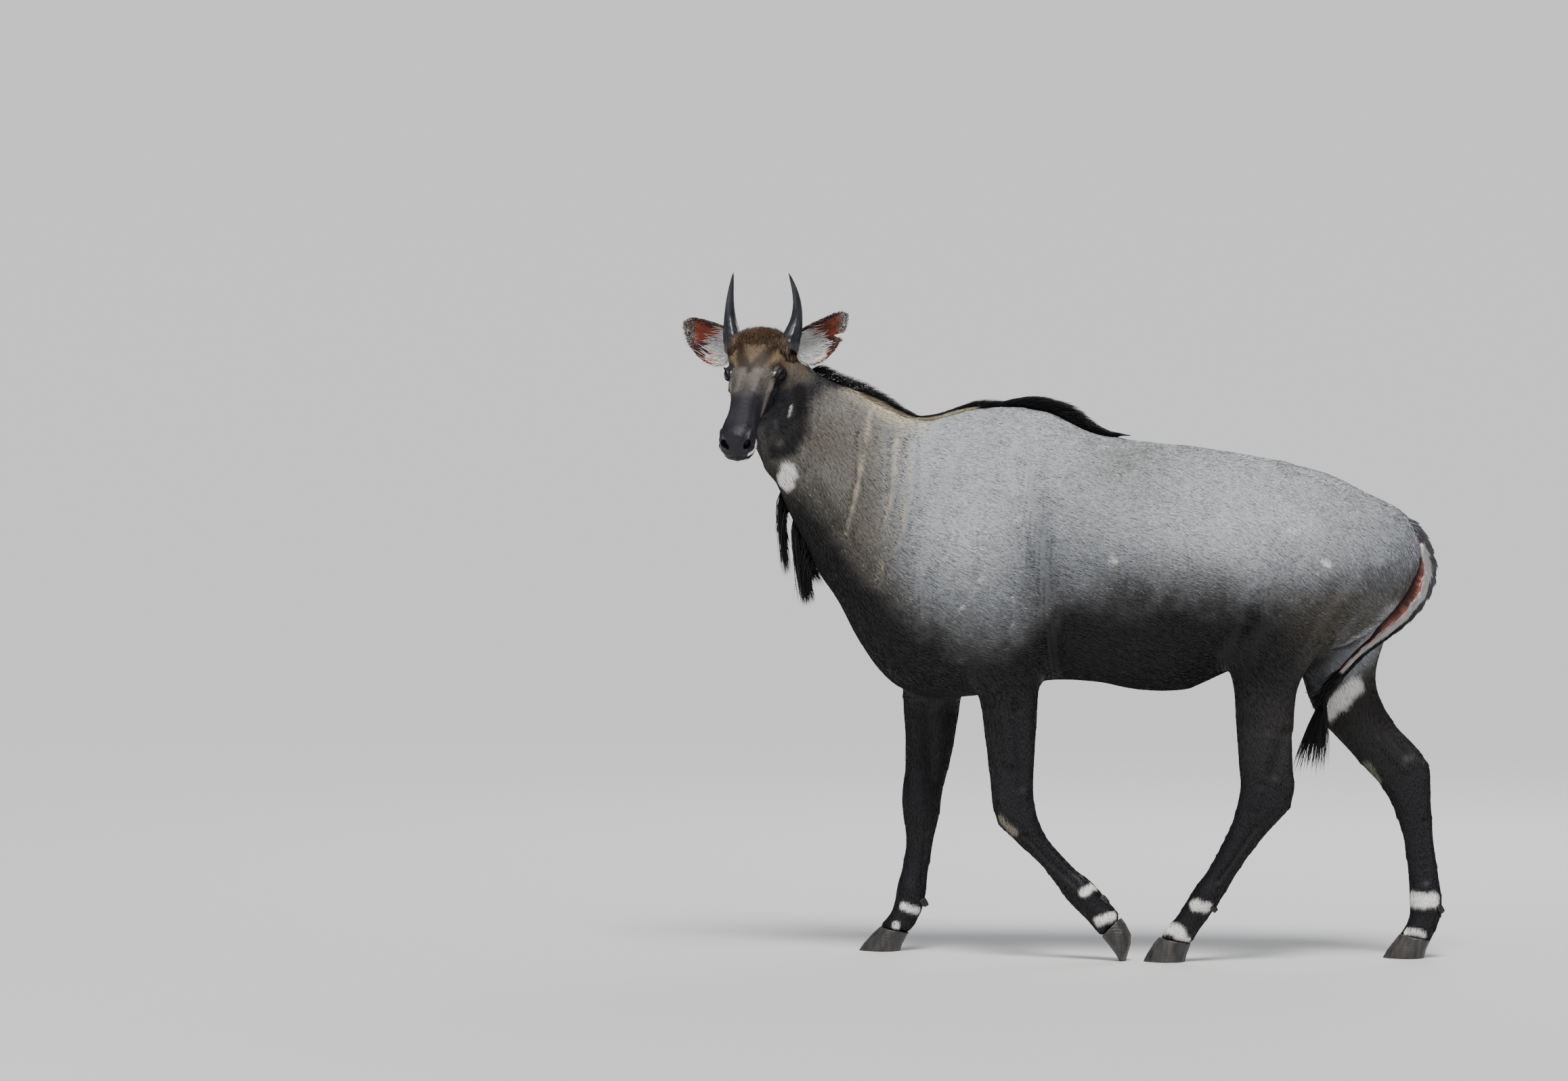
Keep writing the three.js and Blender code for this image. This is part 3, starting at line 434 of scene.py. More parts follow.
# Tendon and bone lines of the legs, on the side that faces the camera
LEG_LINES = [
    ([(1470, 1020), (1486, 1070), (1494, 1125)], 0.018, 0.006),
    ([(1503, 1050), (1507, 1110), (1509, 1160)], 0.016, -0.007),
    ([(1478, 1182), (1486, 1205)], 0.014, 0.005),
    ([(1524, 1186), (1526, 1200)], 0.010, 0.005),
    ([(1514, 1234), (1548, 1270), (1590, 1308)], 0.008, -0.005),
    ([(1594, 1308), (1606, 1322)], 0.022, 0.006),
    ([(1616, 1340), (1630, 1356)], 0.022, 0.004),
    ([(1346, 1045), (1352, 1130)], 0.015, 0.005),
    ([(1371, 1050), (1375, 1150)], 0.016, -0.006),
    ([(1358, 1185), (1364, 1208)], 0.018, 0.005),
    ([(1368, 1228), (1362, 1305)], 0.008, -0.005),
    ([(1342, 1318), (1350, 1330)], 0.020, 0.004),
    ([(1899, 1088), (1892, 1118), (1882, 1142)], 0.018, -0.010),
    ([(1874, 1090), (1866, 1150)], 0.011, 0.004),
    ([(1908, 1152), (1905, 1170)], 0.012, 0.004),
    ([(1862, 1170), (1855, 1190)], 0.012, 0.005),
    ([(1854, 1222), (1828, 1262), (1800, 1300)], 0.008, -0.005),
    ([(1784, 1322), (1776, 1334)], 0.020, 0.005),
    ([(1850, 985), (1846, 1050)], 0.030, 0.006),
    ([(2046, 1080), (2064, 1100), (2076, 1112)], 0.018, -0.009),
    ([(2036, 1092), (2074, 1136)], 0.011, 0.004),
    ([(2106, 1128), (2108, 1148)], 0.012, 0.004),
    ([(2104, 1212), (2107, 1300)], 0.008, -0.005),
    ([(2104, 1318), (2106, 1338)], 0.020, 0.005),
]
# Lines of the head in millimetres ahead, left and up of the point between the eyes, with reach and rise
HEAD_LINES = [
    ([(34, 60, -22), (4, 76, -26), (-46, 82, -20), (-92, 74, 2)], 10, 4),
    ([(52, 52, -52), (0, 68, -88), (-60, 70, -100), (-110, 60, -80)], 13, 3.5),
    ([(40, 58, -40), (-20, 76, -62)], 12, -3),
    ([(34, 57, -8), (56, 49, -20)], 4, -4),
    ([(30, 62, 8), (58, 50, -2)], 6, 3),
    ([(62, 28, 42), (140, 26, 31), (226, 28, 20)], 9, 2.5),
    ([(105, 46, -10), (185, 42, -22)], 16, -3.5),
    ([(238, 38, 4), (262, 34, -4), (270, 40, -20), (258, 44, -30)], 6, 4),
    ([(186, 43, -38), (240, 46, -42), (268, 34, -42), (277, 0, -40)], 7, 3),
    ([(180, 40, -58), (236, 42, -60), (262, 26, -60), (268, 0, -60)], 7, 2),
    ([(-30, 62, 26), (-4, 66, 30), (24, 58, 24)], 10, 6),
    ([(-44, 48, 44), (6, 38, 42)], 12, -2.5),
    ([(-110, 28, 56), (-96, 0, 62)], 26, 8),
    ([(-84, 54, 40), (-70, 52, 44)], 20, 6),
]
MOUTH_LINE = [(150, 41, -40), (176, 42, -48), (226, 46, -50), (262, 33, -50), (279, 0, -47)]
NOSTRIL_PIXELS = [(1103, 657), (1071.5, 657)]
EYE_OUT = unit(np.array([0.44, 0.88, 0.16]))
LID_LONG = unit(np.array([0.86, -0.40, -0.30]))
LID_HALF_LONG, LID_HALF_HIGH = 0.0165, 0.0108


def eye_axes(side):
    """Outward, long and high axes of an eye's opening, in the animal's own frame."""
    out = EYE_OUT * (1, side, 1)
    long = LID_LONG * (1, side, 1)
    long = unit(long - out * (long @ out))
    high = np.cross(long, out) * side
    if high[2] < 0:
        high = -high
    return out @ HEAD_AXES, long @ HEAD_AXES, high @ HEAD_AXES


def eye_centre(side):
    return box_middle("eye_left" if side > 0 else "eye_right") + OFFSET


def lid_place(q, side):
    """Points near an eye: offset and distance from its centre, and place in the opening, 1 at the rim."""
    out, long, high = eye_axes(side)
    d = q - eye_centre(side)
    r = np.linalg.norm(d, axis=1)
    x, y, z = d @ long, d @ high, d @ out
    k = EYE_RADIUS / np.maximum(r, 1e-6)
    x, y = x * k, y * k
    narrow = 1 - 0.35 * np.clip(np.abs(x) / LID_HALF_LONG, 0, 1) ** 2
    e = np.sqrt((x / LID_HALF_LONG) ** 2 + (y / (LID_HALF_HIGH * narrow)) ** 2)
    return d, r, np.where((z > 0) & (r < 0.05), e, 9), y


def sculpt_body(mesh):
    tree = tree_of(mesh)
    q = own_points(mesh)
    n = normals_of(mesh)
    push = np.zeros(len(q))
    body = 1 - headness(q)
    for pixels, reach, rise, both in BODY_LINES:
        line = seen_line(tree, pixels)
        for one in both_sides(line, False)[: 1 + both]:
            far, _ = to_line(q, one)
            push += rise * np.exp(-((far / reach) ** 2)) * body
    for pixels, reach, rise in LEG_LINES:
        line = seen_line(tree, pixels)
        middle = line[:, 1].mean() + 0.022
        for one in (line, line * (1, -1, 1) + (0, 2 * middle, 0)):
            far, _ = to_line(q, one)
            push += rise * np.exp(-((far / reach) ** 2))
    push += 0.0016 * (cloud(q, 0.05, 3) - 0.5) * body
    q += n * push[:, None]
    put_points(mesh, q)


def sculpt_head(mesh):
    q = own_points(mesh)
    n = normals_of(mesh)
    head = headness(q)
    push = np.zeros(len(q))
    for line, reach, rise in HEAD_LINES:
        for side in (1, -1):
            points = [on_head(a / 1000, side * l / 1000, u / 1000) for a, l, u in line]
            far, _ = to_line(q, points)
            if side < 0 and all(abs(l) < 1 for _, l, _ in line):
                continue
            push += rise / 1000 * np.exp(-((far / reach * 1000) ** 2)) * head
    q += n * push[:, None]
    for side in (1, -1):
        d, r, e, y = lid_place(q, side)
        rim = EYE_RADIUS + 0.0022
        near = (1 - ramp(1.5, 2.9, e)) * (r < 0.045)
        r = r * (1 - near) + rim * near
        crease = np.exp(-(((e - 1.5) / 0.12) ** 2)) * np.where(y > 0, 0.0016, 0.0008)
        bag = np.exp(-(((e - 1.22) / 0.12) ** 2)) * 0.0008
        r = r - crease * (near > 0) + bag * (near > 0)
        inside = 1 - ramp(0.90, 1.06, e)
        r = r * (1 - inside) + (EYE_RADIUS - 0.003) * inside
        moved = (e < 3) & (np.linalg.norm(d, axis=1) < 0.045)
        q = np.where(moved[:, None], eye_centre(side) + unit(d) * r[:, None], q)
    # Line of the mouth
    mouth = MOUTH_LINE + [(a, -l, u) for a, l, u in MOUTH_LINE[-2::-1]]
    far, along = to_line(q, [on_head(a / 1000, l / 1000, u / 1000) for a, l, u in mouth])
    n = normals_of(mesh)
    q -= n * (0.0042 * np.exp(-((far / 0.0022) ** 2)))[:, None] * head[:, None]
    q += n * (0.0012 * np.exp(-(((far - 0.006) / 0.003) ** 2)))[:, None] * head[:, None]
    put_points(mesh, q)
    # Nostrils: a comma that turns up and outwards
    tree = tree_of(mesh)
    for i, (px, py) in enumerate(NOSTRIL_PIXELS):
        side = 1 if i == 0 else -1
        middle = seen(tree, px, py)
        axis = unit(middle - on_head(0.225, side * 0.012, -0.028))
        up = unit(HEAD_UP - axis * (HEAD_UP @ axis))
        across = np.cross(up, axis)
        d = q - middle
        x, y, z = d @ across, d @ up, d @ axis
        x = x - side * 0.35 * (y + 0.004) * np.sign(across @ HEAD_LEFT)
        e = np.sqrt((x / 0.0088) ** 2 + (y / 0.0118) ** 2)
        deep = (1 - ramp(0.45, 1.12, e)) * (np.abs(z) < 0.03)
        rim = np.exp(-(((e - 1.25) / 0.22) ** 2)) * (np.abs(z) < 0.02)
        q -= axis * (0.015 * deep)[:, None]
        q += axis * (0.0022 * rim)[:, None]
    put_points(mesh, q)


def finer_face(mesh):
    """Splits the squares round the eyes, nostrils and lips once more."""
    q = own_points(mesh)
    near = np.zeros(len(q), dtype=bool)
    for side in (1, -1):
        near |= np.linalg.norm(q - eye_centre(side), axis=1) < 0.034
    a, l, u = in_head(q)
    near |= (a > 0.225) & (headness(q) > 0.5)
    refined(mesh, near)


finer_face(skin_mesh)
sculpt_body(skin_mesh)
sculpt_head(skin_mesh)

# The skin lies inside the solids by the depth of the coat
COAT_DEPTH = 0.0035
# Smoothing has already taken the legs in further than their short coat is deep
LEG_DEPTH = -0.0012


def sink_skin(mesh):
    q = own_points(mesh)
    legs = 1 - ramp(0.35, 0.62, q[:, 2])
    depth = COAT_DEPTH * (1 - 0.75 * headness(q)) * (1 - legs) + LEG_DEPTH * legs
    set_points(mesh, points_of(mesh) - normals_of(mesh) * depth[:, None])


sink_skin(skin_mesh)

skin = object_from(skin_mesh, "skin")
smooth_faces(skin_mesh)
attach(skin, "root")
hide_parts(*FLESH)
skin_tree = tree_of(skin_mesh)


# Colours of the coat and the bare parts
BACK_GREY = paint(162, 164, 166)
FLANK_GREY = paint(101, 103, 107)
NECK_BROWN = paint(90, 84, 73)
BUTTOCK_BROWN = paint(78, 72, 64)
THIGH_BROWN = paint(58, 54, 50)
BELLY_BLACK = paint(11, 10, 12)
LEG_BLACK = paint(14, 13, 17)
FOREHEAD = paint(106, 88, 65)
CROWN_BROWN = paint(66, 48, 34)
FACE_GREY = paint(98, 91, 84)
FACE_SLATE = paint(34, 32, 38)
NOSE_BLACK = paint(22, 21, 28)
EAR_WEDGE = paint(38, 39, 46)
WHITE_HAIR = paint(242, 240, 235)
CREAM_HAIR = paint(206, 192, 160)
MANE_BLACK = paint(20, 18, 19)
SKIN_PINK = paint(186, 112, 96)
SKIN_CREASE_SHADE = paint(66, 38, 36)
CALLUS = paint(128, 122, 108)

# Height of the line where grey turns to black along the body; below it lie the dark coat of the underparts and
# painted shade under the body
SHADE_LINE = [
    (-0.760, 1.26), (-0.690, 1.190), (-0.650, 1.130), (-0.565, 1.045), (-0.500, 0.985), (-0.447, 0.935),
    (-0.342, 0.855), (-0.234, 0.795), (-0.154, 0.775), (-0.086, 0.800), (-0.017, 0.880),
    (0.051, 0.905), (0.222, 0.910), (0.394, 0.905), (0.496, 0.905), (0.618, 0.905),
    (0.740, 0.895), (0.850, 0.900), (0.920, 0.92),
]
shade_x, shade_z = np.array(SHADE_LINE).T

# Marks placed by pixels of the photograph: line, radius in millimetres, then colour, edge and how full
HEAD_SPOTS = [
    ([(1120, 490)], 48, CROWN_BROWN, 0.6, 0.9),
    ([(1091, 505), (1098, 522), (1106, 547)], 9, CROWN_BROWN * 0.45, 0.7, 0.8),
    ([(1147, 508), (1134, 526), (1122, 540)], 9, CROWN_BROWN * 0.45, 0.7, 0.75),
    ([(1118, 500), (1117, 520)], 12, FOREHEAD * 0.8, 0.8, 0.6),
    ([(1118, 548), (1117, 575)], 13, FACE_GREY * 1.25, 0.6, 0.5),
    ([(1163, 518), (1150, 530), (1143, 542)], 13, FOREHEAD * 1.25, 0.7, 0.7),
    ([(1141, 555), (1134, 580), (1125, 612)], 8, FACE_GREY * 1.7, 0.6, 0.75),
    ([(1161, 553)], 21, FACE_SLATE * 0.45, 0.6, 0.9),
    ([(1152, 563), (1146, 578)], 6, FACE_SLATE * 0.5, 0.6, 0.8),
    ([(1180, 530), (1186, 548)], 18, FOREHEAD * 0.7, 0.6, 0.7),
]
# Dark coat of the cheek, jaw and neck, and painted shadow under the jaw and of the head on the neck: pixels,
# reach, colour, how full
JAW_DARK_AND_SHADOW = [
    ([(1136, 596), (1142, 625), (1138, 655)], 19, FACE_SLATE, 0.92),
    ([(1158, 590), (1158, 640)], 24, FACE_SLATE, 0.92),
    ([(1146, 622), (1141, 640), (1134, 656)], 5, FACE_GREY * 0.55, 0.7),
    # Painted shadow on black coat under the angle of the jaw, where the head shades the neck
    ([(1180, 578), (1184, 606), (1180, 636), (1170, 658)], 20, BELLY_BLACK, 0.95),
    ([(1166, 662), (1150, 668), (1140, 668)], 16, BELLY_BLACK, 0.95),
    ([(1200, 541), (1214, 546), (1236, 558)], 19, EAR_WEDGE, 0.95),
    ([(1197, 570), (1199, 600), (1195, 645)], 4, FACE_SLATE, 0.7),
    ([(1208, 566), (1209, 600), (1205, 650)], 3, FACE_SLATE, 0.55),
]
WHITE_SPOTS = [
    ([(1117, 652), (1115, 662), (1108, 671)], 6.5),
    ([(1144, 550), (1142, 555)], 2.4),
    ([(1168.5, 600), (1167, 606), (1166, 613)], 3.2),
]
# White of the lips and chin, in millimetres ahead, left and up of the point between the eyes
LIP_LINES = [
    ([(222, 45, -48), (250, 41, -46)], 5.5),
    ([(196, 41, -62), (240, 37, -64), (262, 18, -65), (264, 0, -67)], 7.0),
]
THROAT_PATCH = [([(1164, 696), (1160, 709)], 25), ([(1172, 686)], 16)]
LEG_SPOTS = [
    ([(1334, 1337), (1344, 1341), (1356, 1344)], 9, 1),
    ([(1305, 1370), (1310, 1382)], 9, 1),
    ([(1600, 1318), (1614, 1308)], 11, -1),
    ([(1622, 1360), (1646, 1352)], 12, -1),
    ([(1750, 1328), (1767, 1336), (1784, 1340)], 13, -1),
    ([(1724, 1370), (1740, 1374), (1750, 1390)], 15, -1),
    ([(2088, 1328), (2102, 1330), (2118, 1328)], 18, 1),
    ([(2078, 1378), (2090, 1384), (2098, 1388)], 13, 1),
]
THIGH_PATCH = [([(1960, 1050), (1984, 1028), (2000, 1014)], 23)]
THIGH_PALE = [([(2050, 905), (2030, 940), (1996, 975), (1966, 1010)], 40)]
NECK_STREAKS = [
    ([(1284, 606), (1281, 640), (1272, 690), (1262, 740), (1249, 788)], 3.6),
    ([(1326, 642), (1322, 690), (1314, 735), (1306, 768)], 3.6),
    ([(1343, 652), (1342, 700), (1334, 750), (1328, 790)], 3.6),
    ([(1303, 832), (1297, 850)], 3.6),
]
BODY_MARKS = [
    ([(1452, 852), (1436, 876), (1418, 898)], 3.0, 0.8),
    ([(1496, 880), (1494, 930)], 3.0, 0.7),
    ([(1903, 783), (1915, 787)], 6.0, 0.75),
    ([(1956, 829), (1962, 835)], 7.0, 0.75),
    ([(1643, 825), (1646, 830)], 6.0, 0.9),
]
# Soft lighter and darker bands over the muscles: pixels, reach in millimetres, colour, how full
BODY_TINTS = [
    ([(2051, 847), (1992, 924), (1938, 996)], 20, FLANK_GREY * 0.62, 0.60),
    ([(2062, 872), (1996, 948), (1948, 1010)], 9, BELLY_BLACK * 1.6, 0.75),
    ([(2026, 838), (1975, 905), (1925, 975)], 11, THIGH_BROWN * 0.7, 0.55),
]
CALLUS_SPOT = ([(1478, 1208), (1490, 1222), (1498, 1229)], 10)
HOCK_SPOT = ([(2020, 1130), (2034, 1150)], 13)


def over(colour, layer, amount):
    return colour * (1 - amount[:, None]) + layer * amount[:, None]


def all_placed(rows):
    """The rows of a list of marks with pixels as points of the skin and millimetres as metres."""
    return [(seen_line(skin_tree, row[0]), row[1] / 1000, *row[2:]) for row in rows]


PLACED_HEAD = all_placed(HEAD_SPOTS)
PLACED_WHITE = all_placed(WHITE_SPOTS)
PLACED_WHITE += [(np.array([on_head(*(np.array(v) / 1000)) for v in p]), r / 1000) for p, r in LIP_LINES]
PLACED_JAW_AND_SHADOW = all_placed(JAW_DARK_AND_SHADOW)
PLACED_THROAT = all_placed(THROAT_PATCH)
PLACED_LEGS = all_placed(LEG_SPOTS)
PLACED_THIGH = all_placed(THIGH_PATCH)
PLACED_PALE = all_placed(THIGH_PALE)
PLACED_STREAKS = all_placed(NECK_STREAKS)
PLACED_MARKS = all_placed(BODY_MARKS)
PLACED_TINTS = all_placed(BODY_TINTS)
PLACED_CALLUS, PLACED_HOCK = all_placed([CALLUS_SPOT, HOCK_SPOT])


def patch(q, line, radius, edge=0.35, seed=5):
    """1 inside a patch round a line of points, 0 outside, with an uneven edge."""
    far, _ = to_line(q, line)
    wobble = radius * 0.35 * (cloud(q, max(radius * 0.6, 0.004), seed) - 0.5)
    return 1 - ramp(radius * (1 - edge), radius * (1 + edge), far + wobble)


def markings(q):
    """Colour of the coat, and how bare the skin is, at points of the animal's own frame."""
    x, y, z = q.T
    a, l, u = in_head(q)
    head = headness(q)
    soft = cloud(q, 0.11, 1) - 0.5
    small = cloud(q, 0.022, 2) - 0.5
    # Back and flanks: grey that is lighter towards the top, partly painted top light
    high = ramp(0.95, 1.28, z + 0.10 * soft)
    colour = FLANK_GREY + (BACK_GREY - FLANK_GREY) * high[:, None]
    # Painted highlights where the top light falls on the shoulder and the croup
    shoulder = np.exp(-(((x + 0.22) / 0.16) ** 2) - ((z - 1.08) / 0.17) ** 2)
    croup = np.exp(-(((x - 0.47) / 0.30) ** 2) - ((z - 1.10) / 0.13) ** 2)
    colour = over(colour, BACK_GREY * 1.18, np.clip(0.9 * (shoulder + croup), 0, 0.9))
    behind = np.exp(-(((x + 0.03) / 0.045) ** 2) - ((z - 0.98) / 0.16) ** 2)
    colour = over(colour, FLANK_GREY * 0.72, 0.6 * behind)
    brown_back = np.exp(-(((x - 0.18) / 0.13) ** 2) - ((z - 1.25) / 0.07) ** 2)
    colour = over(colour, NECK_BROWN, 0.4 * brown_back)
    # Neck
    neck = ramp(-0.30, -0.50, x)
    colour = over(colour, NECK_BROWN, neck * np.clip(0.88 + 0.3 * soft, 0, 1))
    front = x - np.interp(z, throat_z, throat_x) + 0.05 * soft + 0.02 * small
    low_neck = ramp(0.19, 0.03, front) * ramp(1.24, 1.10, z) * (x < -0.2)
    colour = over(colour, THIGH_BROWN * 0.8, 0.8 * low_neck)
    below_crest = np.interp(x, back_x, back_z) - z
    cream = np.exp(-(((x + 0.44) / 0.10) ** 2)) * ramp(0.055, 0.0, below_crest)
    colour = over(colour, CREAM_HAIR, 0.75 * cream)
    behind_ear = np.exp(-(((x + 0.625) / 0.06) ** 2) - ((z - 1.46) / 0.045) ** 2)
    colour = over(colour, MANE_BLACK * 1.6, 0.85 * np.clip(behind_ear * 1.2, 0, 1))
    # Grey turns to black below: partly the dark coat of the underparts, partly painted shade under the body
    line = np.interp(x, shade_x, shade_z)
    depth = z - line + 0.06 * soft + 0.035 * small
    mid = over(colour, THIGH_BROWN, np.full(len(q), 0.55))
    dark = over(colour, mid, 1 - ramp(0.0, 0.13, depth))
    black = BELLY_BLACK + (THIGH_BROWN - BELLY_BLACK) * ramp(0.52, 0.72, x)[:, None] * 0.45
    colour = over(dark, black, 1 - ramp(-0.06, 0.045, depth))
    # Thighs and legs
    thigh = ramp(0.56, 0.72, x + 0.4 * (z - 0.8)) * ramp(0.62, 0.80, z) * (1 - ramp(0.0, 0.10, depth))
    colour = over(colour, BUTTOCK_BROWN, 0.6 * thigh)
    legs = 1 - ramp(0.58, 0.74, z)
    brown_leg = ramp(0.42, 0.62, z) * ramp(0.35, 0.6, x)
    leg_colour = LEG_BLACK[None] + (THIGH_BROWN * 0.8 - LEG_BLACK)[None] * (0.5 * brown_leg)[:, None]
    colour = over(colour, leg_colour, legs)
    for place, radius, side in PLACED_LEGS:
        spot = patch(q, place, radius) + patch(q, place + (0, 0.055, 0), radius)
        colour = over(colour, WHITE_HAIR, np.clip(spot, 0, 1) * (y * side > 0))
    for place, radius in PLACED_THIGH:
        inner = np.clip(sum(patch(q, one, radius, 0.3) for one in both_sides(place, False)), 0, 1)
        colour = over(colour, WHITE_HAIR, inner)
    for place, radius in PLACED_PALE:
        for one in both_sides(place, False):
            colour = over(colour, FLANK_GREY * 2.1, 0.85 * patch(q, one, radius, 0.6) * (1 - inner))
    for place, radius, tone, full in PLACED_TINTS:
        for one in both_sides(place, False):
            colour = over(colour, tone, full * patch(q, one, radius, 0.8))
    # Head
    face = FACE_GREY + (FOREHEAD - FACE_GREY) * (ramp(0.05, -0.02, a) * ramp(-0.03, 0.02, u))[:, None]
    face = over(face, FACE_SLATE, ramp(0.03, 0.15, a + 0.04 * small))
    round_face = np.arctan2(np.abs(l), u + 0.045) + 0.5 * small
    face = over(face, FACE_SLATE * 1.1, ramp(0.86, 1.06, round_face) * ramp(-0.005, 0.03, a))
    face = over(face, FACE_SLATE, ramp(-0.02, -0.075, u) * 0.9)
    for place, radius, tone, edge, full in PLACED_HEAD:
        for one in both_sides(place, True):
            face = over(face, tone, full * patch(q, one, radius, edge))
    face = over(face, NOSE_BLACK, ramp(0.205, 0.235, a))
    colour = over(colour, face, head)
    # Dark coat of the jaw and neck, with painted shadow under the jaw
    for place, radius, tone, full in PLACED_JAW_AND_SHADOW:
        for one in both_sides(place, True):
            colour = over(colour, tone, full * patch(q, one, radius, 0.6) * (a < 0.19))
    for place, radius in PLACED_THROAT:
        colour = over(colour, WHITE_HAIR, patch(q, place, radius, 0.2))
    for place, reach in PLACED_STREAKS:
        far, _ = to_line(q, place)
        colour = over(colour, CREAM_HAIR * 0.9, 0.55 * np.exp(-((far / reach) ** 2)))
    for place, radius, full in PLACED_MARKS:
        colour = over(colour, WHITE_HAIR * 0.8, full * patch(q, place, radius, 0.4))
    colour = over(colour, CALLUS, 0.9 * patch(q, *PLACED_CALLUS, 0.4))
    colour = over(colour, CALLUS * 0.8, 0.7 * patch(q, *PLACED_HOCK, 0.5))
    # Bare skin of the nose, nostrils and lips, and round the eyes
    nose = ramp(0.238, 0.256, a) * ramp(-0.052, -0.044, u) * head
    near_eye = np.zeros(len(q))
    for side in (1, -1):
        _, r, e, _ = lid_place(q, side)
        shade = 1 - ramp(0.0245, 0.034, r + 0.004 * small)
        colour = over(colour, FACE_SLATE * 0.5, 0.93 * shade)
        near_eye = np.maximum(near_eye, 1 - ramp(0.0225, 0.0245, r))
    for place, radius in PLACED_WHITE:
        for one in both_sides(place, True):
            colour = over(colour, WHITE_HAIR, patch(q, one, radius, 0.25) * head)
    bare = np.clip(nose + near_eye, 0, 1)
    return np.clip(colour, 0.002, 0.9), bare


def lie_of(q, n):
    """Direction in which the hair lies, along the surface."""
    x, y, z = q.T
    head = headness(q)[:, None]
    legs = legness(q)[:, None]
    body = np.stack([np.full(len(q), 0.85), np.zeros(len(q)), -0.35 - 0.5 * ramp(0.3, 0.8, x)], 1)
    neck = np.array([0.62, 0.10, -0.78])
    on_neck = ramp(-0.30, -0.52, x)[:, None]
    d = body * (1 - on_neck) + neck * on_neck
    d = d * (1 - legs) + np.array([0.12, 0, -1]) * legs
    d = d * (1 - head) + -HEAD_AHEAD * 0.9 * head
    swirl = np.stack([cloud(q, 0.09, 31 + k) - 0.5 for k in range(3)], 1)
    d = unit(d) + 0.34 * swirl
    d = d - n * np.sum(d * n, axis=1, keepdims=True)
    return unit(d)


def write_colour(mesh, name, colours):
    layer = mesh.color_attributes.new(name, "FLOAT_COLOR", "POINT")
    full = np.ones((len(mesh.vertices), 4), dtype=np.float32)
    full[:, :3] = colours
    layer.data.foreach_set("color", full.ravel())


def write_markings(mesh, colours, bare):
    """Colour of each corner, and how bare the skin is there, for the hide's finish."""
    write_colour(mesh, "Coat", colours)
    layer = mesh.attributes.new("Bare", "FLOAT", "POINT")
    layer.data.foreach_set("value", np.full(len(mesh.vertices), bare, dtype=np.float32))


# Node groups that several finishes share
def new_group(name, inputs, outputs):
    group = bpy.data.node_groups.new(name, "ShaderNodeTree")
    for label, kind, value in inputs:
        socket = group.interface.new_socket(label, in_out="INPUT", socket_type="NodeSocket" + kind)
        if value is not None:
            socket.default_value = value
    for label, kind in outputs:
        group.interface.new_socket(label, in_out="OUTPUT", socket_type="NodeSocket" + kind)
    return group, group.nodes.new("NodeGroupInput"), group.nodes.new("NodeGroupOutput")


def add(tree, kind, values=(), links=(), **settings):
    """A new node with these settings, input values and links from other sockets."""
    node = tree.nodes.new("ShaderNode" + kind)
    for key, value in settings.items():
        setattr(node, key, value)
    for key, value in dict(values).items():
        node.inputs[key].default_value = value
    for key, socket in dict(links).items():
        tree.links.new(socket, node.inputs[key])
    return node


def new_finish(name):
    """A new material, its nodes and its shader."""
    material = bpy.data.materials.new(name)
    material.use_nodes = True
    return material, material.node_tree, material.node_tree.nodes["Principled BSDF"]


def make_fleck_group():
    """Speckle of light and dark hairs, and the height of their ends."""
    inputs = [("Colour", "Color", (0.5, 0.5, 0.5, 1)), ("Amount", "Float", 0.3), ("Size", "Float", 300.0)]
    tree, source, out = new_group("Flecked hair", inputs, [("Colour", "Color"), ("Height", "Float")])
    place = add(tree, "TexCoord")
    fine = add(tree, "TexNoise", {"Detail": 3.0, "Roughness": 0.6},
               {"Vector": place.outputs["Object"], "Scale": source.outputs["Size"]})
    broad = add(tree, "TexNoise", {"Scale": 26.0, "Detail": 2.0}, {"Vector": place.outputs["Object"]})
    mean = add(tree, "Math", {1: -0.5}, {0: fine.outputs["Fac"]}, operation="ADD")
    strong = add(tree, "Math", {}, {0: mean.outputs[0], 1: source.outputs["Amount"]}, operation="MULTIPLY")
    wide = add(tree, "Math", {1: -0.5}, {0: broad.outputs["Fac"]}, operation="ADD")
    less = add(tree, "Math", {1: 0.25}, {0: wide.outputs[0]}, operation="MULTIPLY")
    both = add(tree, "Math", {}, {0: strong.outputs[0], 1: less.outputs[0]}, operation="ADD")
    bright = add(tree, "Math", {1: 1.0}, {0: both.outputs[0]}, operation="ADD")
    scaled = add(tree, "VectorMath", {}, {0: source.outputs["Colour"], "Scale": bright.outputs[0]},
                 operation="SCALE")
    tree.links.new(scaled.outputs[0], out.inputs["Colour"])
    tree.links.new(fine.outputs["Fac"], out.inputs["Height"])
    return tree


FLECKED = make_fleck_group()


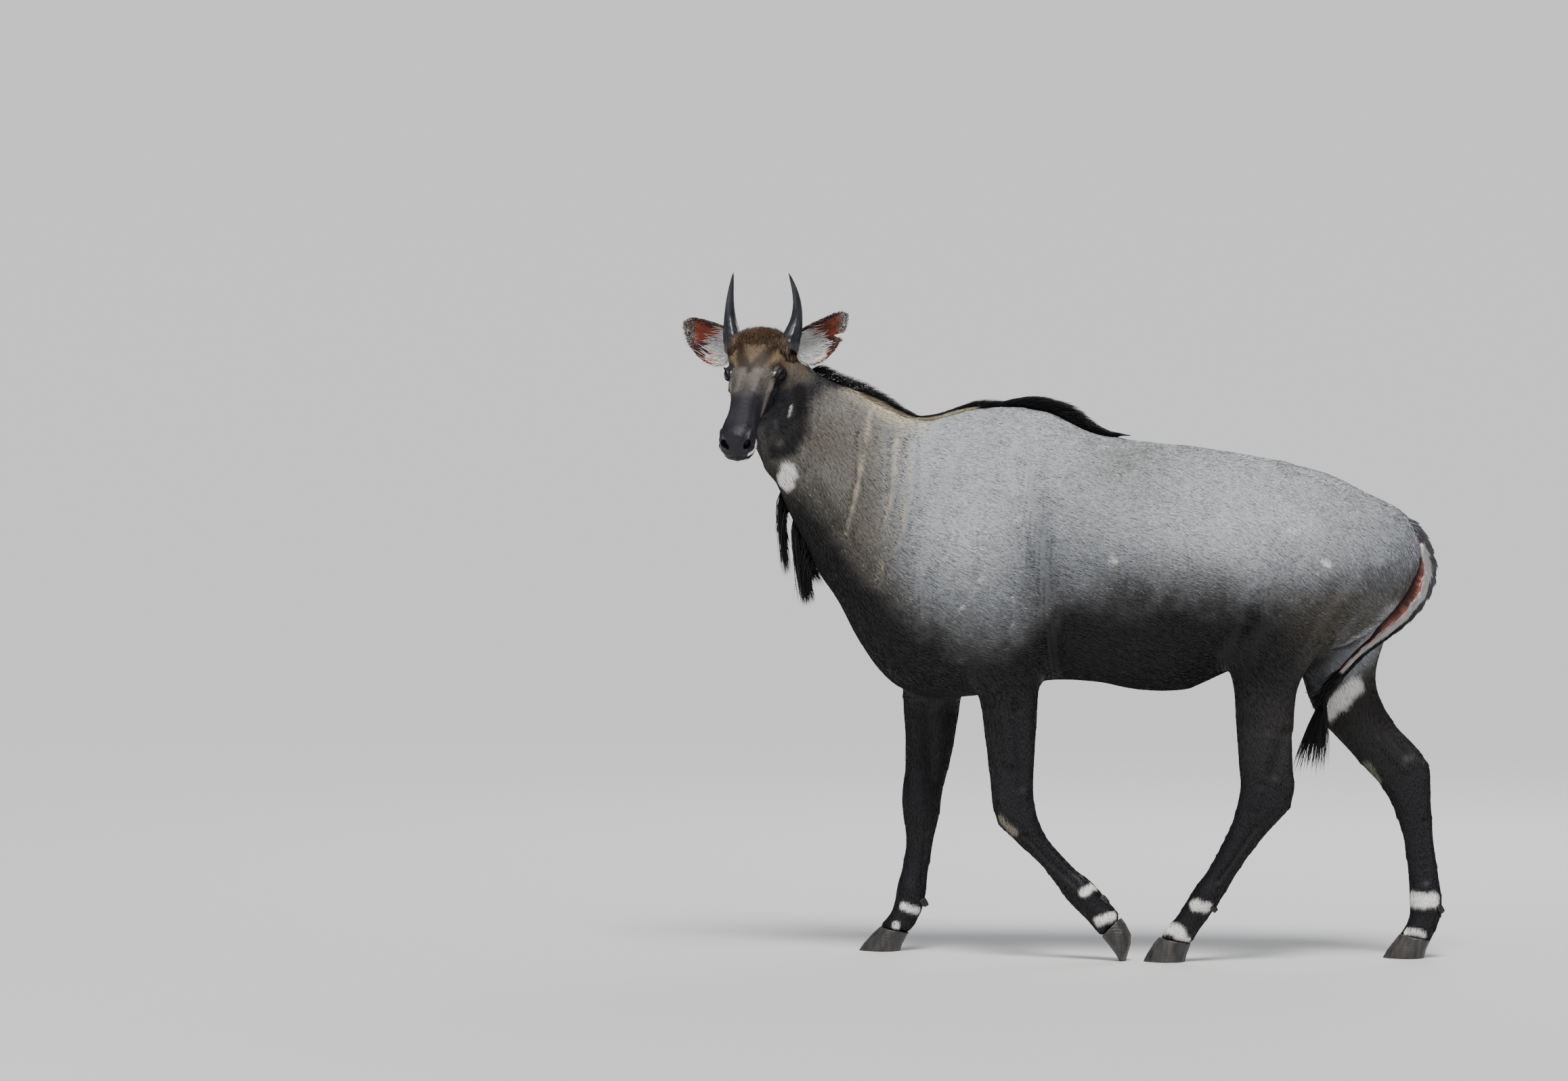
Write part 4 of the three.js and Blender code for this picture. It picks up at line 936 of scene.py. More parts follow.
def finish_of(name, amount, size, rough, bump, depth, gloss, bare=False, flat=None):
    """A finish whose colour comes from the markings, with flecks; bare skin is smoother and pebbled."""
    material, tree, shader = new_finish(name)
    group = tree.nodes.new("ShaderNodeGroup")
    group.node_tree = FLECKED
    group.inputs["Amount"].default_value = amount
    group.inputs["Size"].default_value = size
    if flat is None:
        colour = add(tree, "Attribute", attribute_name="Coat")
        tree.links.new(colour.outputs["Color"], group.inputs["Colour"])
    else:
        group.inputs["Colour"].default_value = (*flat, 1)
    tree.links.new(group.outputs["Colour"], shader.inputs["Base Color"])
    height = group.outputs["Height"]
    shader.inputs["Roughness"].default_value = rough
    shader.inputs["Specular IOR Level"].default_value = gloss
    if bare:
        where = add(tree, "Attribute", attribute_name="Bare")
        place = add(tree, "TexCoord")
        pebble = add(tree, "TexVoronoi", {"Scale": 420.0}, {"Vector": place.outputs["Object"]},
                     feature="DISTANCE_TO_EDGE")
        mix = add(tree, "Mix", {}, {0: where.outputs["Fac"], 2: height, 3: pebble.outputs["Distance"]})
        height = mix.outputs[0]
        sheer = add(tree, "MapRange", {"To Min": rough, "To Max": 0.40}, {"Value": where.outputs["Fac"]})
        tree.links.new(sheer.outputs[0], shader.inputs["Roughness"])
    relief = add(tree, "Bump", {"Strength": bump, "Distance": depth}, {"Height": height})
    tree.links.new(relief.outputs[0], shader.inputs["Normal"])
    return material


# Amount and size of the flecks, roughness, strength and depth of the relief, and gloss
hide = finish_of("hide", 0.5, 240.0, 0.55, 0.5, 0.0012, 0.34, bare=True)
short_hair = finish_of("short_hair", 0.35, 420.0, 0.40, 0.2, 0.0006, 0.26)
long_hair = finish_of("long_hair", 0.5, 300.0, 0.38, 0.25, 0.0008, 0.3)


def dress_skin():
    write_markings(skin_mesh, *markings(own_points(skin_mesh)))
    skin_mesh.materials.append(hide)


dress_skin()


# Coat: many small tufts as joined meshes
def faces_as_triangles(mesh):
    mesh.calc_loop_triangles()
    t = np.empty(len(mesh.loop_triangles) * 3, dtype=np.int64)
    mesh.loop_triangles.foreach_get("vertices", t)
    return t.reshape(-1, 3)


skin_points = own_points(skin_mesh)
skin_normals = normals_of(skin_mesh)
skin_triangles = faces_as_triangles(skin_mesh)


TRIES_A_CELL = 1.9


def scattered(spacing, where, seed):
    """Evenly strewn places on the skin, about spacing apart, where the chance allows it."""
    draw = np.random.default_rng(seed)
    corners = skin_points[skin_triangles]
    middle = corners.mean(axis=1)
    area = np.linalg.norm(np.cross(corners[:, 1] - corners[:, 0], corners[:, 2] - corners[:, 0]), axis=1) / 2
    area = area * where(middle)
    count = int(TRIES_A_CELL * area.sum() / spacing**2)
    chosen = draw.choice(len(area), size=count, p=area / area.sum())
    b = draw.random((count, 2))
    b = np.where(b.sum(axis=1, keepdims=True) > 1, 1 - b, b)
    w = np.stack([1 - b.sum(axis=1), b[:, 0], b[:, 1]], 1)[:, :, None]
    p = (corners[chosen] * w).sum(axis=1)
    n = unit((skin_normals[skin_triangles[chosen]] * w).sum(axis=1))
    cell = np.floor(p / spacing).astype(np.int64)
    key = (cell[:, 0] * 1000003 + cell[:, 1]) * 1000003 + cell[:, 2]
    _, first = np.unique(key, return_index=True)
    first.sort()
    return p[first], n[first], draw


def unwrapped(q):
    """Places on an unwrap of the skin: body, head and legs each rolled out from their own axis."""
    x, y, z = q.T
    a, l, u = in_head(q)
    axis_z = np.interp(x, [-0.7, -0.5, -0.2, 0.8], [1.25, 1.1, 1.0, 1.0])
    around = np.arctan2(y, z - axis_z) / (2 * np.pi) + 0.5
    out = np.stack([(x + 0.8) / 1.8 * 0.98 + 0.01, around * 0.48 + 0.01], 1)
    head = headness(q) > 0.5
    turn = np.arctan2(l, u + 0.03) / (2 * np.pi) + 0.5
    out[head] = np.stack([(a + 0.24) / 0.54 * 0.38 + 0.01, turn * 0.47 + 0.51], 1)[head]
    for k, (front, side) in enumerate([(True, -1), (True, 1), (False, -1), (False, 1)]):
        here = (z < 0.62) & ((x < 0.21) == front) & (y * side > 0) & ~head
        if here.any():
            axis_x = np.interp(z, [0, 0.2, 0.4, 0.62], LEG_AXES[k])
            turn = np.arctan2(x - axis_x, y - side * 0.1) / (2 * np.pi) + 0.5
            rolled = np.stack([0.41 + 0.145 * k + 0.13 * z / 0.62, turn * 0.47 + 0.51], 1)
            out[here] = rolled[here]
    return np.clip(out, 0.005, 0.995)


LEG_AXES = [
    (0.15, 0.06, -0.07, -0.12),
    (-0.44, -0.40, -0.38, -0.35),
    (0.30, 0.40, 0.52, 0.53),
    (0.87, 0.90, 0.87, 0.72),
]
# Size of one tuft's or lock's place on the unwrap, and how deep a tuft's root sits in the skin
PATCH_SIZE = 0.003
ROOT_SINK = 0.0012


def joined_mesh(name, verts, faces, colours, uv, material, *nodes, smooth=False):
    """A piece from arrays of corners and faces of 3 or 4 corners each, with its colours and bake map."""
    mesh = bpy.data.meshes.new(name)
    mesh.vertices.add(len(verts))
    mesh.vertices.foreach_set("co", np.ascontiguousarray(verts - OFFSET, dtype=np.float32).ravel())
    sizes = np.concatenate([np.full(len(f), f.shape[1]) for f in faces])
    flat = np.concatenate([f.ravel() for f in faces]).astype(np.int32)
    mesh.loops.add(len(flat))
    mesh.loops.foreach_set("vertex_index", flat)
    mesh.polygons.add(len(sizes))
    starts = np.concatenate([[0], np.cumsum(sizes)[:-1]]).astype(np.int32)
    mesh.polygons.foreach_set("loop_start", starts)
    mesh.update(calc_edges=True)
    layer = mesh.uv_layers.new(name="OFBake")
    layer.data.foreach_set("uv", np.ascontiguousarray(uv[flat], dtype=np.float32).ravel())
    write_colour(mesh, "Coat", colours)
    return piece_from(mesh, name, material, *nodes, smooth=smooth)


def tufts(name, p, n, lie, length, width, thick, lift, colour, draw):
    """Short tufts: each a thin wedge from three corners at its root to its tip."""
    count = len(p)
    across = np.cross(n, lie)
    half = (width / 2)[:, None]
    foot = p - n * ROOT_SINK
    sway = across * (length * 0.22 * (draw.random(count) - 0.5))[:, None]
    tip = p + lie * length[:, None] + n * lift[:, None] + sway
    back = foot + n * (thick + ROOT_SINK)[:, None]
    verts = np.stack([foot - across * half, foot + across * half, back, tip], 1)
    i = np.arange(count)[:, None] * 4
    faces = np.concatenate([i + [0, 2, 3], i + [2, 1, 3], i + [1, 0, 3], i + [0, 1, 2]])
    centre = unwrapped(p)
    corners = np.array([[-0.5, -0.5], [0.5, -0.5], [0, -0.2], [0, 0.5]]) * PATCH_SIZE
    uv = (centre[:, None] + corners[None]).reshape(-1, 2)
    shade = np.array([0.78, 0.78, 0.95, 1.12])
    tones = (colour[:, None] * shade[None, :, None]).reshape(-1, 3)
    joined_mesh(name, verts.reshape(-1, 3), [faces], tones, uv, short_hair)


PIECE_TUFTS = 49000


def coat(name, spacing, where, seed, size, grizzle):
    """Strews one region with tufts, in as many pieces as the limit on a piece asks."""
    p, n, draw = scattered(spacing, where, seed)
    colour, bare = markings(p)
    keep = draw.random(len(p)) > bare * 1.2
    p, n, colour = p[keep], n[keep], colour[keep]
    lie = lie_of(p, n)
    count = len(p)
    near_nose = headness(p) * ramp(0.06, 0.22, in_head(p)[0])
    length = size[0] * (0.7 + 0.6 * draw.random(count)) * (1 - 0.55 * near_nose)
    width = size[1] * (0.7 + 0.6 * draw.random(count))
    thick = np.full(count, size[2])
    lift = size[3] * (0.3 + 1.2 * draw.random(count) ** 2)
    light = colour.mean(axis=1)
    spread = grizzle * (0.25 + 0.75 * ramp(0.03, 0.2, light))
    mottle = 0.55 * cloud(p, 0.008, 21) + 0.45 * cloud(p, 0.019, 22) - 0.5
    tone = np.exp(spread * draw.normal(size=count) + 1.3 * mottle * ramp(0.03, 0.2, light))
    pale = draw.random(count) < 0.12 * ramp(0.02, 0.10, light)
    colour = colour * tone[:, None]
    colour = np.where(pale[:, None], colour * 0.45 + WHITE_HAIR * 0.33, colour)
    colour = np.clip(colour, 0.003, 0.85)
    order = np.argsort(p[:, 0], kind="stable")
    pieces = int(np.ceil(count / PIECE_TUFTS))
    for k, chosen in enumerate(np.array_split(order, pieces)):
        label = name if pieces == 1 else name + "_" + str(k + 1)
        tufts(label, *(v[chosen] for v in (p, n, lie, length, width, thick, lift, colour)), draw)


# Height over the ground from which the tufts are those of the legs
LEG_COAT_TOP = 0.60


def on_body(p):
    return (1 - headness(p)) * (p[:, 2] > LEG_COAT_TOP)


def on_legs(p):
    return (p[:, 2] <= LEG_COAT_TOP) * 1.0


# Spacing, where, seed, size of a tuft (length, width, thickness, lift), and spread of its tone
coat("coat_body", 0.0041, on_body, 11, (0.0125, 0.0020, 0.0005, 0.0010), 0.52)
coat("coat_legs", 0.0038, on_legs, 12, (0.0105, 0.0019, 0.0005, 0.0008), 0.22)
coat("coat_head", 0.0025, headness, 13, (0.0070, 0.0012, 0.0004, 0.0005), 0.36)


# Long hair: locks of strands as joined meshes
LOCK_RINGS = 5


def grown(p, out, lie, length, start, end, sway, sink=0.004):
    """Middle lines of locks whose angle, from out towards lie, changes from start to end."""
    side = unit(np.cross(out, lie))
    at = p.copy()
    first = np.cos(start)[:, None] * out + np.sin(start)[:, None] * lie
    line = [p - first * sink]
    for k in range(1, LOCK_RINGS):
        t = (k - 0.5) / (LOCK_RINGS - 1)
        angle = start + (end - start) * t
        step = np.cos(angle)[:, None] * out + np.sin(angle)[:, None] * lie
        at = at + (step * length[:, None] + side * (sway * 2 * t)[:, None]) / (LOCK_RINGS - 1)
        line.append(at)
    return np.stack(line, 1), side


LOCK_TAPER = (0.7, 1, 0.85, 0.55)
TIP_LIGHT = 1.1


def locks(name, line, side, width, thick, colour, uv_place, *nodes):
    """Locks round these middle lines: rings of four corners, then one tip."""
    count = len(line)
    ahead = np.empty_like(line)
    ahead[:, 1:-1] = line[:, 2:] - line[:, :-2]
    ahead[:, 0] = line[:, 1] - line[:, 0]
    ahead[:, -1] = line[:, -1] - line[:, -2]
    ahead = unit(ahead)
    across = unit(side[:, None] - ahead * np.sum(side[:, None] * ahead, axis=2, keepdims=True))
    flat = np.cross(ahead, across)
    shape = np.array(LOCK_TAPER)[None, :, None]
    w = width[:, None, None] / 2 * shape
    h = thick[:, None, None] / 2 * shape
    body, a, f = line[:, :-1], across[:, :-1], flat[:, :-1]
    rings = np.stack([body + a * w, body + f * h, body - a * w, body - f * h], 2)
    verts = np.concatenate([rings.reshape(count, -1, 3), line[:, -1:]], 1)
    per = verts.shape[1]
    i = np.arange(count)[:, None] * per
    faces = [i + [3, 2, 1, 0]]
    for k in range(LOCK_RINGS - 2):
        for c in range(4):
            d = (c + 1) % 4
            faces.append(i + [4 * k + c, 4 * k + d, 4 * k + 4 + d, 4 * k + 4 + c])
    last = 4 * (LOCK_RINGS - 2)
    tips = [i + [last + c, last + (c + 1) % 4, per - 1] for c in range(4)]
    spot = np.zeros((per, 2))
    for k in range(LOCK_RINGS - 1):
        for c in range(4):
            spot[4 * k + c] = (-0.5 + c / 3, -0.5 + k / (LOCK_RINGS - 1))
    spot[-1] = (0, 0.5)
    uv = (unwrapped(uv_place)[:, None] + spot[None] * PATCH_SIZE).reshape(-1, 2)
    tone = np.concatenate([np.repeat(np.linspace(0.8, 1.0, LOCK_RINGS - 1), 4), [TIP_LIGHT]])
    tones = (colour[:, None] * tone[None, :, None]).reshape(-1, 3)
    faces = [np.concatenate(faces), np.concatenate(tips)]
    joined_mesh(name, verts.reshape(-1, 3), faces, tones, uv, long_hair, *nodes, smooth=True)


def varied(draw, colour, count, spread):
    """Colours of single locks round one colour."""
    return np.clip(colour * np.exp(spread * draw.normal(size=(count, 1))), 0.002, 0.9)


def crest_line():
    """Midline of the neck's and back's top edge: x, y and z."""
    rows = []
    for x in np.arange(-0.640, 0.262, 0.020):
        near = (np.abs(skin_points[:, 0] - x) < 0.012) & (skin_points[:, 2] > 1.2)
        near &= headness(skin_points) < 0.5
        here = skin_points[near]
        high = here[here[:, 2] > here[:, 2].max() - 0.004]
        rows.append((x, high[:, 1].mean(), here[:, 2].max()))
    rows = np.array(rows)
    for k in (1, 2):
        rows[1:-1, k] = (rows[:-2, k] + rows[1:-1, k] * 2 + rows[2:, k]) / 4
    return rows


crest = crest_line()


def nearest_on(tree, p):
    """Nearest places on a surface and its outward directions there."""
    spots, ways = np.empty_like(p), np.empty_like(p)
    for i, point in enumerate(p - OFFSET):
        spots[i], ways[i] = tree.find_nearest(Vector(point))[:2]
    return spots + OFFSET, unit(ways)


# Rows along the manes: x, height of the hair over the skin, half width of the band
NAPE_MANE = [
    (-0.640, 0.016, 0.012), (-0.600, 0.026, 0.011), (-0.520, 0.026, 0.009), (-0.440, 0.018, 0.009),
    (-0.395, 0.011, 0.007), (-0.300, 0.010, 0.007), (-0.240, 0.018, 0.008), (-0.180, 0.012, 0.008),
    (-0.140, 0.010, 0.008),
]
WITHERS_MANE = [
    (-0.180, 0.010, 0.008), (-0.125, 0.021, 0.011), (-0.060, 0.027, 0.014), (0.020, 0.020, 0.014),
    (0.070, 0.013, 0.010), (0.105, 0.009, 0.006), (0.135, 0.006, 0.004),
]


def mane(name, rows, count, seed, length, colour, spread, upright, wide, fine=False):
    draw = np.random.default_rng(seed)
    rows = np.array(rows)
    x = rows[0, 0] + (rows[-1, 0] - rows[0, 0]) * draw.random(count)
    height = np.interp(x, rows[:, 0], rows[:, 1]) * (0.7 + 0.5 * draw.random(count))
    band = np.interp(x, rows[:, 0], rows[:, 2])
    y = np.interp(x, crest[:, 0], crest[:, 1]) + band * np.clip(draw.normal(size=count) * 0.5, -1, 1)
    z = np.interp(x, crest[:, 0], crest[:, 2])
    p, n = nearest_on(skin_tree, np.stack([x, y, z], 1))
    ahead = np.interp(x + 0.02, crest[:, 0], crest[:, 2]) - np.interp(x - 0.02, crest[:, 0], crest[:, 2])
    drift = np.interp(x + 0.02, crest[:, 0], crest[:, 1]) - np.interp(x - 0.02, crest[:, 0], crest[:, 1])
    lie = unit(np.stack([np.full(count, 0.04), drift, ahead], 1))
    n = unit(n - lie * np.sum(n * lie, axis=1, keepdims=True))
    full = np.clip(np.interp(x, rows[:, 0], rows[:, 1]) / (0.6 * rows[:, 1].max()), 0.5, 1)
    long = length * (0.75 + 0.5 * draw.random(count)) * full
    lean = np.arccos(np.clip(height / long, 0.05, 0.97))
    start = np.clip(lean - upright, 0.1, 1.5)
    width = wide * (0.7 + 0.6 * draw.random(count))
    tone = varied(draw, colour, count, spread)
    if fine:
        tufts(name, p, n, lie, long, width, width * 0.3, height, tone, draw)
        return
    end = np.minimum(lean + upright * 0.8, 1.62)
    line, side = grown(p, n, lie, long, start, end, 0.008 * draw.normal(size=count))
    locks(name, line, side, width, width * 0.4, tone, p)


NAPE_EDGE = [
    (-0.520, 0.004, 0.020), (-0.470, 0.008, 0.026), (-0.380, 0.008, 0.024), (-0.300, 0.007, 0.022),
    (-0.230, 0.005, 0.012),
]
mane("mane_nape", NAPE_MANE, 3000, 21, 0.046, MANE_BLACK * 1.4, 0.45, 0.35, 0.0014)
mane("mane_withers", WITHERS_MANE, 3200, 22, 0.070, MANE_BLACK, 0.25, 0.45, 0.0024)
mane("mane_nape_edge", NAPE_EDGE, 5000, 23, 0.026, CREAM_HAIR * 0.62, 0.35, 0.2, 0.0015, True)

# Beard: bundles that hang from the front of the neck.
# Heights of the roots, place of the tip, how many locks, spread of the roots and of the tips
BEARD_BUNDLES = [
    ((1.165, 1.125), (-0.700, 0.948), 200, 0.010, 0.006),
    ((1.150, 1.110), (-0.712, 1.035), 60, 0.010, 0.008),
    ((1.095, 0.985), (-0.648, 0.878), 560, 0.016, 0.010),
    ((1.060, 0.970), (-0.622, 0.925), 160, 0.014, 0.012),
]


def throat_edge():
    """Foremost points of the throat and chest, from low to high."""
    rows = []
    for z in np.arange(0.70, 1.24, 0.015):
        here = skin_points[(np.abs(skin_points[:, 2] - z) < 0.010) & (headness(skin_points) < 0.3)]
        front = here[here[:, 0] < here[:, 0].min() + 0.003]
        rows.append((z, front[:, 0].mean(), front[:, 1].mean()))
    return np.array(rows)


throat = throat_edge()


def beard():
    draw = np.random.default_rng(31)
    lines, sides, places = [], [], []
    for (high, low), (tip_x, tip_z), count, root_spread, tip_spread in BEARD_BUNDLES:
        t = draw.random(count)
        z = high + (low - high) * t
        x, y = (np.interp(z, throat[:, 0], throat[:, k]) for k in (1, 2))
        y = y + root_spread * draw.normal(size=count)
        p, n = nearest_on(skin_tree, np.stack([x, y, z], 1))
        short = 0.55 * draw.random(count) ** 2.2
        tip_y = np.interp(tip_z, throat[:, 0], throat[:, 2])
        tip = np.array([tip_x, tip_y, tip_z]) + tip_spread * draw.normal(size=(count, 3)) * (1, 1, 0.6)
        tip[:, 2] += short * (p[:, 2] - tip_z)
        tip[:, 0] += short * (p[:, 0] - tip_x) * 0.7
        bend = p * 0.62 + tip * 0.38
        bend[:, 0] -= 0.012 + 0.010 * draw.random(count)
        s = np.linspace(0, 1, LOCK_RINGS)[None, :, None]
        line = p[:, None] * (1 - s) ** 2 + 2 * bend[:, None] * s * (1 - s) + tip[:, None] * s**2
        line[:, 0] -= n * 0.004
        lines.append(line)
        turn = draw.random(count) * np.pi
        sides.append(np.stack([np.cos(turn), np.sin(turn), 0 * turn], 1))
        places.append(p)
    line, side, p = (np.concatenate(v) for v in (lines, sides, places))
    width = 0.0030 * (0.7 + 0.6 * draw.random(len(p)))
    tone = varied(draw, MANE_BLACK * (0.9, 0.95, 1.15), len(p), 0.3)
    locks("beard", line, side, width, width * 0.5, tone, p)


beard()

# Tail: skin core, dark hair along its back, white fringes at its sides, and a black tassel
TAIL_LINE = [
    (0.838, 1.112), (0.880, 1.072), (0.908, 1.025), (0.920, 0.980), (0.908, 0.925), (0.866, 0.866),
    (0.808, 0.818), (0.757, 0.779), (0.704, 0.724), (0.664, 0.672), (0.638, 0.622),
]
TAIL_LINE = np.array([(x, 0, z) for x, z in TAIL_LINE])


def tail_core():
    mesh = remeshed(node_copy(["tail"]), 0.0045, "tail_core")
    q = own_points(mesh)
    q = settled(mesh, q, 0.5, 12)
    near_root = np.exp(-((np.linalg.norm(q - TAIL_LINE[0], axis=1) / 0.05) ** 2))
    q += np.array([-0.0116, 0, -0.0030]) * near_root[:, None]
    put_points(mesh, q)
    n = normals_of(mesh)
    back = outer_side(q, n)
    # The bare underside of the upper tail is a fold of skin that reaches in to the rump
    for i in np.nonzero((back < -0.35) & (q[:, 2] > 0.80))[0]:
        inward = Vector(n[i] * (1, 0.2, 1)).normalized()
        place, _, _, far = skin_tree.ray_cast(Vector(q[i] - OFFSET), inward, 0.055)
        if place is not None:
            share = ramp(-0.35, -0.75, back[i]) * ramp(0.80, 0.84, q[i, 2])
            q[i] += np.array(inward) * (far + 0.004) * share
    put_points(mesh, q)
    q = settled(mesh, q, 0.4, 4, 0.6)
    put_points(mesh, q)
    colour = np.tile(SKIN_PINK, (len(q), 1))
    # Painted shade on the underside that faces the rump, in the fold between tail and rump
    colour = over(colour, SKIN_CREASE_SHADE, ramp(-0.30, -0.50, back))
    colour = over(colour, THIGH_BROWN * 0.9, ramp(-0.1, 0.3, back))
    colour = over(colour, THIGH_BROWN * 0.9, ramp(0.70, 0.62, q[:, 2]))
    colour = over(colour, FLANK_GREY * 0.8, ramp(0.95, 1.05, q[:, 2]) * ramp(-0.1, 0.3, back))
    write_markings(mesh, np.clip(colour, 0, 1), 0)
    piece_from(mesh, "tail_core", hide, "tail")
    return mesh


def outer_side(q, n):
    """How far each point of the tail faces its outer, hairy edge, from -1 to 1."""
    middle = (TAIL_LINE[1:] + TAIL_LINE[:-1]) / 2
    nearest = np.argmin(np.linalg.norm(q[:, None] - middle[None], axis=2), axis=1)
    ahead = unit(TAIL_LINE[1:] - TAIL_LINE[:-1])[nearest]
    outward = np.stack([-ahead[:, 2], np.zeros(len(q)), ahead[:, 0]], 1)
    return np.sum(n * outward, axis=1)


tail_tree = tree_of(tail_core())


def along_tail(t):
    """Place and direction of the tail's middle line, t from 0 at its root to 1 at its end."""
    s = np.clip(t, 0, 1) * (len(TAIL_LINE) - 1)
    i = np.minimum(s.astype(int), len(TAIL_LINE) - 2)
    f = (s - i)[:, None]
    p = TAIL_LINE[i] * (1 - f) + TAIL_LINE[i + 1] * f
    ahead = unit(TAIL_LINE[np.minimum(i + 2, len(TAIL_LINE) - 1)] - TAIL_LINE[np.maximum(i - 1, 0)])
    return p, ahead


def tail_hair(name, count, seed, turn, spread, length, width, colour, tone_spread, span, angle, low_dark):
    """Hair round the tail: turn is 0 at its outer back edge and a quarter turn at its sides."""
    draw = np.random.default_rng(seed)
    t = span[0] + (span[1] - span[0]) * draw.random(count)
    p, ahead = along_tail(t)
    out_back = np.cross(ahead, np.array([0, 1.0, 0]))
    out_back *= np.sign(out_back[:, :1] + 1e-9)
    a = turn * np.sign(draw.random(count) - 0.5) + spread * draw.normal(size=count)
    out = unit(out_back * np.cos(a)[:, None] + np.array([[0, 1.0, 0]]) * np.sin(a)[:, None])
    p, n = nearest_on(tail_tree, p + out * 0.03)
    lie = unit(ahead - n * np.sum(ahead * n, axis=1, keepdims=True))
    long = length * (0.7 + 0.6 * draw.random(count))
    wide = width * (0.7 + 0.6 * draw.random(count))
    tone = varied(draw, colour, count, tone_spread) * (1 - low_dark * ramp(0.24, 0.60, t))[:, None]
    tone = np.clip(tone * (1 + low_dark * 0.5 * ramp(0.22, 0.0, t))[:, None], 0, 0.9)
    if length < 0.03:
        tufts(name, p, n, lie, long, wide, wide * 0.3, long * 0.16, tone, draw)
        return
    start, end = (np.full(count, one) for one in angle)
    line, side = grown(p, n, lie, long, start, end, 0.003 * draw.normal(size=count), 0.002)
    locks(name, line, side, wide, wide * 0.4, tone, p)


# Name, how many, seed, turn and its spread, length, width, colour and its spread,
# part of the tail, angles at root and tip, and how much darker towards the end
TAIL_HAIR = [
    ("back_hair", 6000, 41, 0.0, 0.42, 0.022, 0.0019, FLANK_GREY, 0.50, (0.02, 0.97), (1.25, 1.52), 0.90),
    ("side_hair", 5000, 45, 0.80, 0.20, 0.020, 0.0019, FLANK_GREY * 1.1, 0.45, (0.02, 0.90), (1.3, 1.54), 0.90),
    ("white_fringe", 6000, 42, 1.42, 0.15, 0.022, 0.0018, WHITE_HAIR, 0.08, (0.16, 0.78), (1.15, 1.5), 0.0),
    ("end_hair", 800, 43, 1.6, 1.2, 0.040, 0.0024, MANE_BLACK, 0.3, (0.80, 1.0), (1.2, 1.5), 0.0),
]
for label, *row in TAIL_HAIR:
    tail_hair("tail_" + label, *row)


def tassel():
    draw = np.random.default_rng(44)
    count = 420
    t = 0.93 + 0.07 * draw.random(count)
    p, ahead = along_tail(t)
    a = draw.random(count) * 2 * np.pi
    out = unit(np.stack([np.cos(a), np.sin(a), np.full(count, -0.4)], 1))
    p = p + out * 0.005
    down = unit(np.stack([-0.16 + 0.05 * np.cos(a), 0.05 * np.sin(a), np.full(count, -1.0)], 1))
    long = 0.160 * (0.35 + 0.70 * draw.random(count))
    start, end = np.full(count, 1.2), np.full(count, 1.55)
    line, side = grown(p, out, down, long, start, end, 0.010 * draw.normal(size=count))
    width = 0.0026 * (0.7 + 0.6 * draw.random(count))
    tone = varied(draw, MANE_BLACK, count, 0.3)
    locks("tassel_hair", line, side, width, width * 0.4, tone, p, "tassel")


tassel()


# Hooves and dewclaws
def horny(name, voxel, rounds, ring, material, blunt=0):
    """A smooth horny piece in place of a CAD node, with faint rings of growth."""
    mesh = remeshed(node_copy([name]), voxel, name + "_horn")
    q = own_points(mesh)
    low = q[:, 2].min()
    q = settled(mesh, q, 0.5, rounds)
    q = settled(mesh, q, 0.5, blunt, 0)
    if blunt:
        middle = q.mean(axis=0)
        long = np.linalg.svd(q[::7] - middle, full_matrices=False)[2][0]
        q -= 0.45 * ((q - middle) @ long)[:, None] * long
        spot = np.array(skin_tree.find_nearest(Vector(middle - OFFSET))[0]) + OFFSET
        q += 0.55 * (spot - middle)
    put_points(mesh, q)
    n = normals_of(mesh)
    rise = np.sin(q[:, 2] / ring * 2 * np.pi + 3 * cloud(q, 0.03, 7))
    rise = rise * ramp(low + 0.004, low + 0.012, q[:, 2])
    q += n * (0.0002 * rise)[:, None]
    q[:, 2] = np.maximum(q[:, 2], low)
    put_points(mesh, q)
    piece_from(mesh, name + "_horn", material, name)


